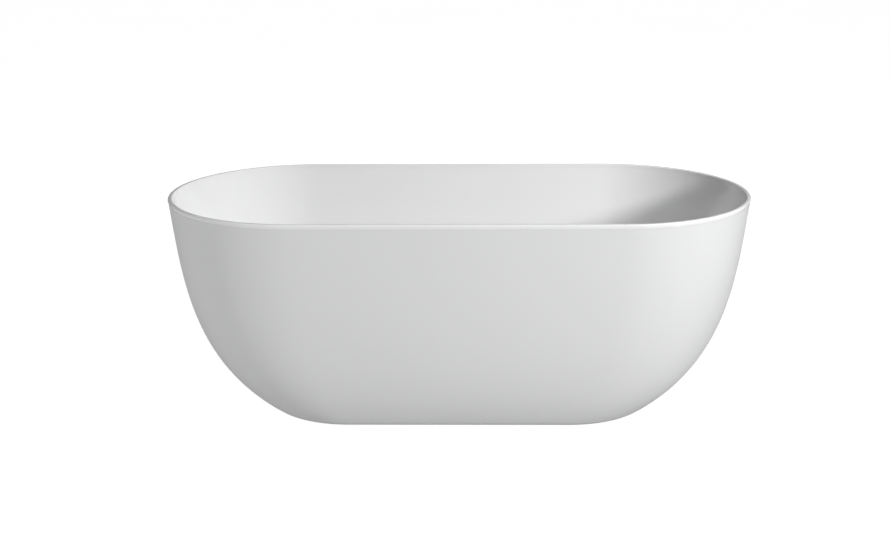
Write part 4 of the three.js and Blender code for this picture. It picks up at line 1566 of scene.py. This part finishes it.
class BATH_OT_overflow(bpy.types.Operator):
    """Build the overflow's cover, seat, gasket and elbow"""

    bl_idname = "bath.overflow"
    bl_label = "Overflow"

    def execute(self, context):
        place = overflow_frame()
        front, back = -0.0008 + GAP, -0.0092 - GAP
        bm = bmesh.new()
        ring_solid(
            bm,
            [
                (0.0185, -0.024), (0.021, -0.024), (0.021, front), (0.029, front), (0.029, 0.0018),
                (0.0275, 0.003), (0.0185, 0.003),
            ],
            0.0006, 96,
        )
        ring_solid(bm, [(0.0043, -0.008), (0.007, -0.008), (0.007, 0.002), (0.0043, 0.002)], 0.0004, 48)
        for way in (-1, 1):
            outlines = []
            for x in (0.0066, 0.0188):
                outlines.append(hoop(Vector((way * x, 0, -0.001)), ALONG * 0.002, UP * 0.003, 16))
            skin(bm, outlines, cap=True)
        piece("overflow_ring", bm, "chrome", node="overflow_seat", place=place, smooth_angle=35, weld=1e-7)

        gap, edge = 0.009, 0.032
        profile = [
            (0, -0.007), (0.0036, -0.007), (0.004, -0.0066), (0.004, gap), (edge - 0.003, gap),
            (edge - 0.003, gap - 0.0011), (edge - 0.0026, gap - 0.0015), (edge - 0.0004, gap - 0.0015),
            (edge, gap - 0.0011), (edge, gap + 0.0010),
        ]
        profile += [
            (
                edge - 0.002 + 0.002 * math.cos(t * math.pi / 2),
                gap + 0.0010 + 0.0020 * math.sin(t * math.pi / 2),
            )
            for t in even(6)[1:]
        ]
        profile += [
            ((edge - 0.002) * (1 - t), gap + 0.003 + 0.0016 * (1 - (1 - t) ** 2)) for t in even(12)[1:]
        ]
        bm = bmesh.new()
        turned(bm, profile, 96, loop=False)
        piece("overflow_lid", bm, "chrome", node="overflow_cover", place=place, smooth_angle=32)

        bm = bmesh.new()
        ring_solid(
            bm, [(0.0245, back - 0.0024), (0.0305, back - 0.0024), (0.0305, back), (0.0245, back)],
            0.0006, 80,
        )
        piece("overflow_washer", bm, "rubber", node="overflow_gasket", place=place)
        self.elbow(place, back - 0.0024 - GAP)
        return {"FINISHED"}

    @staticmethod
    def elbow(place, front):
        """A moulded elbow: a flange, a tapering chamber and a barbed spigot down the wall."""
        bm = bmesh.new()
        back = front - 0.0027
        ring_solid(bm, [(0.0216, back), (0.031, back), (0.031, front), (0.0216, front)], 0.0006, 80)
        axis, tube, wall, deep_end = -0.027, 0.0214, 0.0228, -0.0345
        crown = [
            (wall, back), (wall, deep_end + 0.009), (wall - 0.003, deep_end + 0.003),
            (wall - 0.010, deep_end),
        ]
        inside = [
            (0, deep_end + 0.002), (tube - 0.002, deep_end + 0.003), (tube, deep_end + 0.009),
            (tube, back),
        ]
        turned(bm, rounded(inside + crown + [(0, deep_end)], 0.004, 6, loop=False), 72, loop=False)
        sections = [
            (0.0020, 0.0180, -0.0240, 0.0100), (0.0120, 0.0210, -0.0236, 0.0112),
            (0.0220, 0.0206, -0.0238, 0.0114), (0.0320, 0.0190, -0.0250, 0.0110),
            (0.0420, 0.0160, -0.0266, 0.0110), (0.0470, 0.0135, axis, 0.0112),
            (0.0480, 0.0120, axis, 0.0108),
        ]
        outlines = []
        for y, wide, mid, deep in sections:
            row = []
            for i in range(48):
                a = 2 * math.pi * i / 48
                c, s = math.cos(a), math.sin(a)
                across, out = (math.copysign(abs(v) ** 0.7, v) for v in (c, s))
                row.append(Vector((wide * across, y, mid + deep * out)))
            outlines.append(row)
        rows = [(0.0485, 0.0106)]
        for k in range(5):
            y = 0.051 + 0.0048 * k
            rows += [(y, 0.0098), (y + 0.0038, 0.0105), (y + 0.0040, 0.0098)]
        rows += [(0.0752, 0.0098), (0.076, 0.0092), (0.076, 0.0085), (0.050, 0.0085)]
        for y, r in rows:
            outlines.append(hoop(Vector((0, y, axis)), ACROSS * r, UP * r, 48))
        skin(bm, outlines, cap=True)
        piece("elbow", bm, "white_plastic", node="overflow_elbow", place=place, smooth_angle=40, weld=1e-7)


def beside_wall(z, clear):
    """A point of the hose's axis clear of the basin's front wall at a height."""
    depth = 0.0083
    share = share_at(lambda s: basin_ring(s)[2] - depth, z)
    return Vector((0, -(basin_ring(share)[1] + depth + 0.0134 + clear), z))


def hose_route():
    """The points of the hose's axis, from the overflow to the waste."""
    place = overflow_frame()
    start = place @ Vector((0, 0.0505, -0.027))
    down = (place.to_3x3() @ Vector((0, 1, 0))).normalized()
    return [
        start,
        start + down * 0.014,
        start + down * 0.028,
        beside_wall(0.350, 0.008),
        beside_wall(0.280, 0.010),
        beside_wall(0.220, 0.014),
        beside_wall(0.170, 0.022),
        Vector((0, -0.172, 0.114)),
        Vector((0, -0.130, 0.098)),
        Vector((0, -0.098, 0.094)),
        Vector((0, -0.081, 0.094)),
        Vector((0, -0.0645, 0.094)),
    ]


class BATH_OT_hose(bpy.types.Operator):
    """Build the corrugated overflow hose and its two clips"""

    bl_idname = "bath.hose"
    bl_label = "Overflow hose"

    def execute(self, context):
        line = spline(hose_route(), 60)
        lengths = [0.0]
        for a, b in zip(line, line[1:]):
            lengths.append(lengths[-1] + (b - a).length)
        total = lengths[-1]
        pitch, cuff, per = 0.0036, 0.024, 8
        count = int(total / pitch) * per
        points, radii, j = [], [], 0
        for i in range(count + 1):
            at = total * i / count
            while j < len(lengths) - 2 and lengths[j + 1] < at:
                j += 1
            t = (at - lengths[j]) / max(lengths[j + 1] - lengths[j], 1e-9)
            points.append(line[j].lerp(line[j + 1], t))
            plain = min(1.0, max(0.0, min(at, total - at) - cuff) / 0.004)
            wave = 0.5 + 0.5 * math.cos(2 * math.pi * at / pitch)
            radii.append(0.0126 + 0.0008 * plain * (2 * wave - 1) + 0.0003 * (1 - plain))
        bm = bmesh.new()
        swept(bm, points, radii, 36, cap=False)
        obj = piece("corrugated_hose", bm, "white_plastic", node="overflow_hose", smooth_angle=75)
        wall = obj.modifiers.new("wall", "SOLIDIFY")
        wall.thickness = 0.0008
        wall.offset = -1
        place = overflow_frame()
        upper = place @ Matrix.Translation((0, 0.062, -0.027)) @ Matrix.Rotation(-math.pi / 2, 4, "X")
        lower = Matrix.Translation((0, -0.076, 0.094)) @ Matrix.Rotation(-math.pi / 2, 4, "X")
        self.clip("hose_clip_upper", upper)
        self.clip("hose_clip_lower", lower)
        return {"FINISHED"}

    @staticmethod
    def clip(node, place):
        """A worm-drive clip: a slotted band, its housing and the screw."""
        half, inner, outer = 0.0045, 0.0138, 0.0146
        bm = bmesh.new()
        ring_solid(bm, [(inner, -half), (outer, -half), (outer, half), (inner, half)], 0.00025, 72)
        for i in range(40):
            a = 2 * math.pi * i / 40
            if abs(math.atan2(math.sin(a - math.pi / 2), math.cos(a - math.pi / 2))) < 0.6:
                continue
            way = Vector((math.cos(a), math.sin(a), 0))
            side = Vector((-way.y, way.x, 0)) * 0.0004
            lift = Vector((0, 0, 0.0027))
            slant = lift + side * 0.9
            low, high = way * (outer - 0.0001), way * (outer + 0.0003)
            corners = [-side - slant, side - slant, side + slant, -side + slant]
            skin(bm, [[low + c for c in corners], [high + c for c in corners]], cap=True)
        body = node.replace("hose_clip", "band")
        piece(body, bm, "zinc_steel", node=node, place=place, smooth_angle=40, weld=1e-8)
        box = bmesh.new()
        outline = []
        for x, y in (
            (-0.0065, 0.0), (0.0065, 0.0), (0.0065, 0.0050), (0.0035, 0.0072), (-0.0035, 0.0072),
            (-0.0065, 0.0050),
        ):
            outline.append((x, y + outer - 0.0012))
        soft = rounded(outline, 0.0012, 4)
        rows = [[Vector((x, y, z)) for x, y in soft] for z in (-0.0042, -0.0038, 0.0038, 0.0042)]
        for row, inset in ((rows[0], 0.0004), (rows[-1], 0.0004)):
            middle = sum(row, Vector()) / len(row)
            for v in row:
                arm = Vector((v.x - middle.x, v.y - middle.y, 0))
                v -= arm.normalized() * inset
        skin(box, rows, cap=True)
        piece(f"{body}_housing", box, "zinc_steel", place=place, smooth_angle=40)
        screw = bmesh.new()
        centre = outer + 0.0026
        outlines = []
        tail = [
            (0.00001, 0.0079), (0.0020, 0.0079), (0.0022, 0.0076), (0.0022, -0.0050), (0.0034, -0.0050),
            (0.0035, -0.0074), (0.0032, -0.0077), (0.0026, -0.0078), (0.0026, -0.0068),
            (0.00001, -0.0068),
        ]
        for r, x in tail:
            outlines.append(hoop(Vector((x, centre, 0)), ALONG * r, UP * r, 30))
        skin(screw, outlines)
        blade = [
            Vector((-0.0070, centre + dy, dz))
            for dy, dz in ((-0.0004, -0.0026), (0.0004, -0.0026), (0.0004, 0.0026), (-0.0004, 0.0026))
        ]
        skin(screw, [blade, [v + Vector((0.0010, 0, 0)) for v in blade]], cap=True)
        piece(f"{body}_screw", screw, "zinc_steel", place=place, smooth_angle=35, weld=1e-7)


# ---------------------------------------------------------------- stage


class BATH_OT_stage(bpy.types.Operator):
    """Set the floor, the lights and the camera"""

    bl_idname = "bath.stage"
    bl_label = "Floor, lights and camera"

    def execute(self, context):
        p = context.scene.bath_stage
        self.floor(p)
        self.world(p)
        self.lights(p)
        self.camera(p)
        context.scene.view_settings.view_transform = "Standard"
        context.scene.view_settings.look = "None"
        return {"FINISHED"}

    @staticmethod
    def sheet(name, profile, colour, glow):
        """A wide round sheet with an even glow of its own."""
        bm = bmesh.new()
        skin(bm, [circle(r, z, 96) for r, z in profile])
        mesh = bpy.data.meshes.new(name)
        bm.to_mesh(mesh)
        bm.free()
        f = Finish(name)
        cloud = f.noise(0.8, 3.0, 0.5)
        f.feed("Base Color", f.mix(cloud, shade(colour, 0.98), colour))
        f.feed("Roughness", cloud * 0.1 + 0.75)
        f.feed("Emission Color", f.mix(cloud, (0.99, 0.99, 0.99), (1.0, 1.0, 1.0)))
        f.set(emission_strength=glow, specular_ior_level=0.2)
        mesh.materials.append(f.material)
        obj = bpy.data.objects.new(name, mesh)
        bpy.context.scene.collection.objects.link(obj)
        return obj

    def floor(self, p):
        """A bright floor that rises into a backdrop, over a softer one that only lights the tub."""
        rise = [(16.0, 0.0), (18.0, 0.5), (19.5, 2.0), (20.0, 5.0), (20.0, 20.0)]
        seen = self.sheet(
            "floor", [(0.0001, 0.0), (1.5, 0.0), (4.0, 0.0)] + rise, (0.15, 0.15, 0.15), p.floor_glow
        )
        seen.visible_diffuse = False
        seen.visible_glossy = False
        seen.visible_shadow = False
        under = [(0.0001, -0.002), (1.5, -0.002), (4.0, -0.002), (60.0, -0.002)]
        bounce = self.sheet("floor_bounce", under, (0.28, 0.28, 0.28), p.bounce_glow)
        bounce.visible_camera = False

    @staticmethod
    def world(p):
        """Dim even light, a little brighter overhead."""
        world = bpy.data.worlds.new("studio")
        bpy.context.scene.world = world
        world.use_nodes = True
        g = Graph(world.node_tree)
        background = g.tree.nodes["Background"]
        height = g.split(g.add("ShaderNodeTexCoord", {}, {}, "Generated"))[2] * 0.5 + 0.5
        stops = [(t, (v, v, v, 1.0)) for t, v in ((0.5, 0.12), (0.7, 0.14), (1.0, 0.28))]
        sky = g.add("ShaderNodeValToRGB", {"stops": stops}, {"Fac": height})
        g.tree.links.new(sky.socket, background.inputs["Color"])
        background.inputs["Strength"].default_value = p.fill

    @staticmethod
    def softbox(name, power, size, azimuth, elevation, mirrored=False, distance=4.5):
        """A soft rectangular light aimed at the tub from a compass angle and a height angle."""
        light = bpy.data.lights.new(name, "AREA")
        light.shape = "RECTANGLE"
        light.size, light.size_y = size
        light.energy = power
        obj = bpy.data.objects.new(name, light)
        turn, rise = math.radians(azimuth), math.radians(elevation)
        way = Vector((math.sin(turn) * math.cos(rise), -math.cos(turn) * math.cos(rise), math.sin(rise)))
        obj.location = way * distance + Vector((0, 0, 0.3))
        obj.rotation_euler = way.to_track_quat("Z", "Y").to_euler()
        obj.visible_glossy = mirrored
        obj.visible_diffuse = not mirrored
        obj.visible_camera = False
        bpy.context.scene.collection.objects.link(obj)

    def lights(self, p):
        """A key from the right, weaker lights all round, and one small light that the gloss mirrors."""
        self.softbox("key", p.key_power, (0.6, 0.5), 45, 18.5)
        self.softbox("front", p.front_power, (3.0, 0.5), -8, 0)
        self.softbox("side", p.side_power, (2.0, 0.5), -70, 0)
        self.softbox("high", p.high_power, (1.6, 1.2), 86, 64)
        self.softbox("back", p.back_power, (3.0, 0.9), 168, 4)
        self.softbox("glint", p.glint_power, (0.22, 0.22), 37, 33, mirrored=True)

    @staticmethod
    def camera(p):
        """The camera, aimed a little aside of the middle of the tub."""
        camera = bpy.data.cameras.new("camera")
        camera.sensor_width = 36.0
        camera.lens = p.lens
        camera.clip_end = 100.0
        target = Vector((0, 0, 0.28))

        def away(azimuth, elevation):
            level = math.cos(elevation)
            return Vector((math.sin(azimuth) * level, -math.cos(azimuth) * level, math.sin(elevation)))

        place = target + away(p.azimuth, p.elevation) * p.distance
        turn = p.azimuth + p.aim_turn
        back = away(turn, p.elevation + p.aim_drop)
        right = Vector((math.cos(turn), math.sin(turn), 0))
        up = back.cross(right)
        rolled_right = right * math.cos(p.roll) + up * math.sin(p.roll)
        rolled_up = up * math.cos(p.roll) - right * math.sin(p.roll)
        matrix = Matrix((rolled_right, rolled_up, back)).transposed().to_4x4()
        matrix.translation = place
        obj = bpy.data.objects.new("camera", camera)
        obj.matrix_world = matrix
        bpy.context.scene.collection.objects.link(obj)
        bpy.context.scene.camera = obj


# ---------------------------------------------------------------- add-on


class BATH_PT_panel(bpy.types.Panel):
    """The bathtub's sizes, finishes and steps"""

    bl_idname = "BATH_PT_panel"
    bl_label = "Freestanding Bathtub"
    bl_space_type = "VIEW_3D"
    bl_region_type = "UI"
    bl_category = "Bathtub"

    def draw(self, context):
        layout = self.layout
        for title, group in (
            ("Shape", context.scene.bath_shape),
            ("Finishes", context.scene.bath_finish),
            ("Stage", context.scene.bath_stage),
        ):
            box = layout.box()
            box.label(text=title)
            for key in group.bl_rna.properties.keys():
                if key not in ("rna_type", "name"):
                    box.prop(group, key)
        column = layout.column(align=True)
        for operator in OPERATORS:
            column.operator(operator.bl_idname)


OPERATORS = (
    BATH_OT_stage,
    BATH_OT_basin,
    BATH_OT_apron,
    BATH_OT_backings,
    BATH_OT_board,
    BATH_OT_bars,
    BATH_OT_screws,
    BATH_OT_straps,
    BATH_OT_feet,
    BATH_OT_waste,
    BATH_OT_plug,
    BATH_OT_overflow,
    BATH_OT_hose,
)
GROUPS = {"bath_shape": BathShape, "bath_finish": BathFinish, "bath_stage": BathStage}


def register():
    """Adds the groups, operators and panel to Blender."""
    for name, group in GROUPS.items():
        bpy.utils.register_class(group)
        setattr(bpy.types.Scene, name, PointerProperty(type=group))
    for operator in OPERATORS:
        bpy.utils.register_class(operator)
    bpy.utils.register_class(BATH_PT_panel)


def unregister():
    """Takes them away again."""
    bpy.utils.unregister_class(BATH_PT_panel)
    for operator in reversed(OPERATORS):
        bpy.utils.unregister_class(operator)
    for name, group in GROUPS.items():
        delattr(bpy.types.Scene, name)
        bpy.utils.unregister_class(group)


def main():
    """Builds the tub."""
    register()
    bpy.ops.bath.stage()
    bpy.ops.bath.basin()
    bpy.ops.bath.apron()
    bpy.ops.bath.backings()
    bpy.ops.bath.board()
    bpy.ops.bath.bars()
    bpy.ops.bath.screws()
    bpy.ops.bath.straps()
    bpy.ops.bath.feet()
    bpy.ops.bath.waste()
    bpy.ops.bath.plug()
    bpy.ops.bath.overflow()
    bpy.ops.bath.hose()


if __name__ == "__main__":
    main()
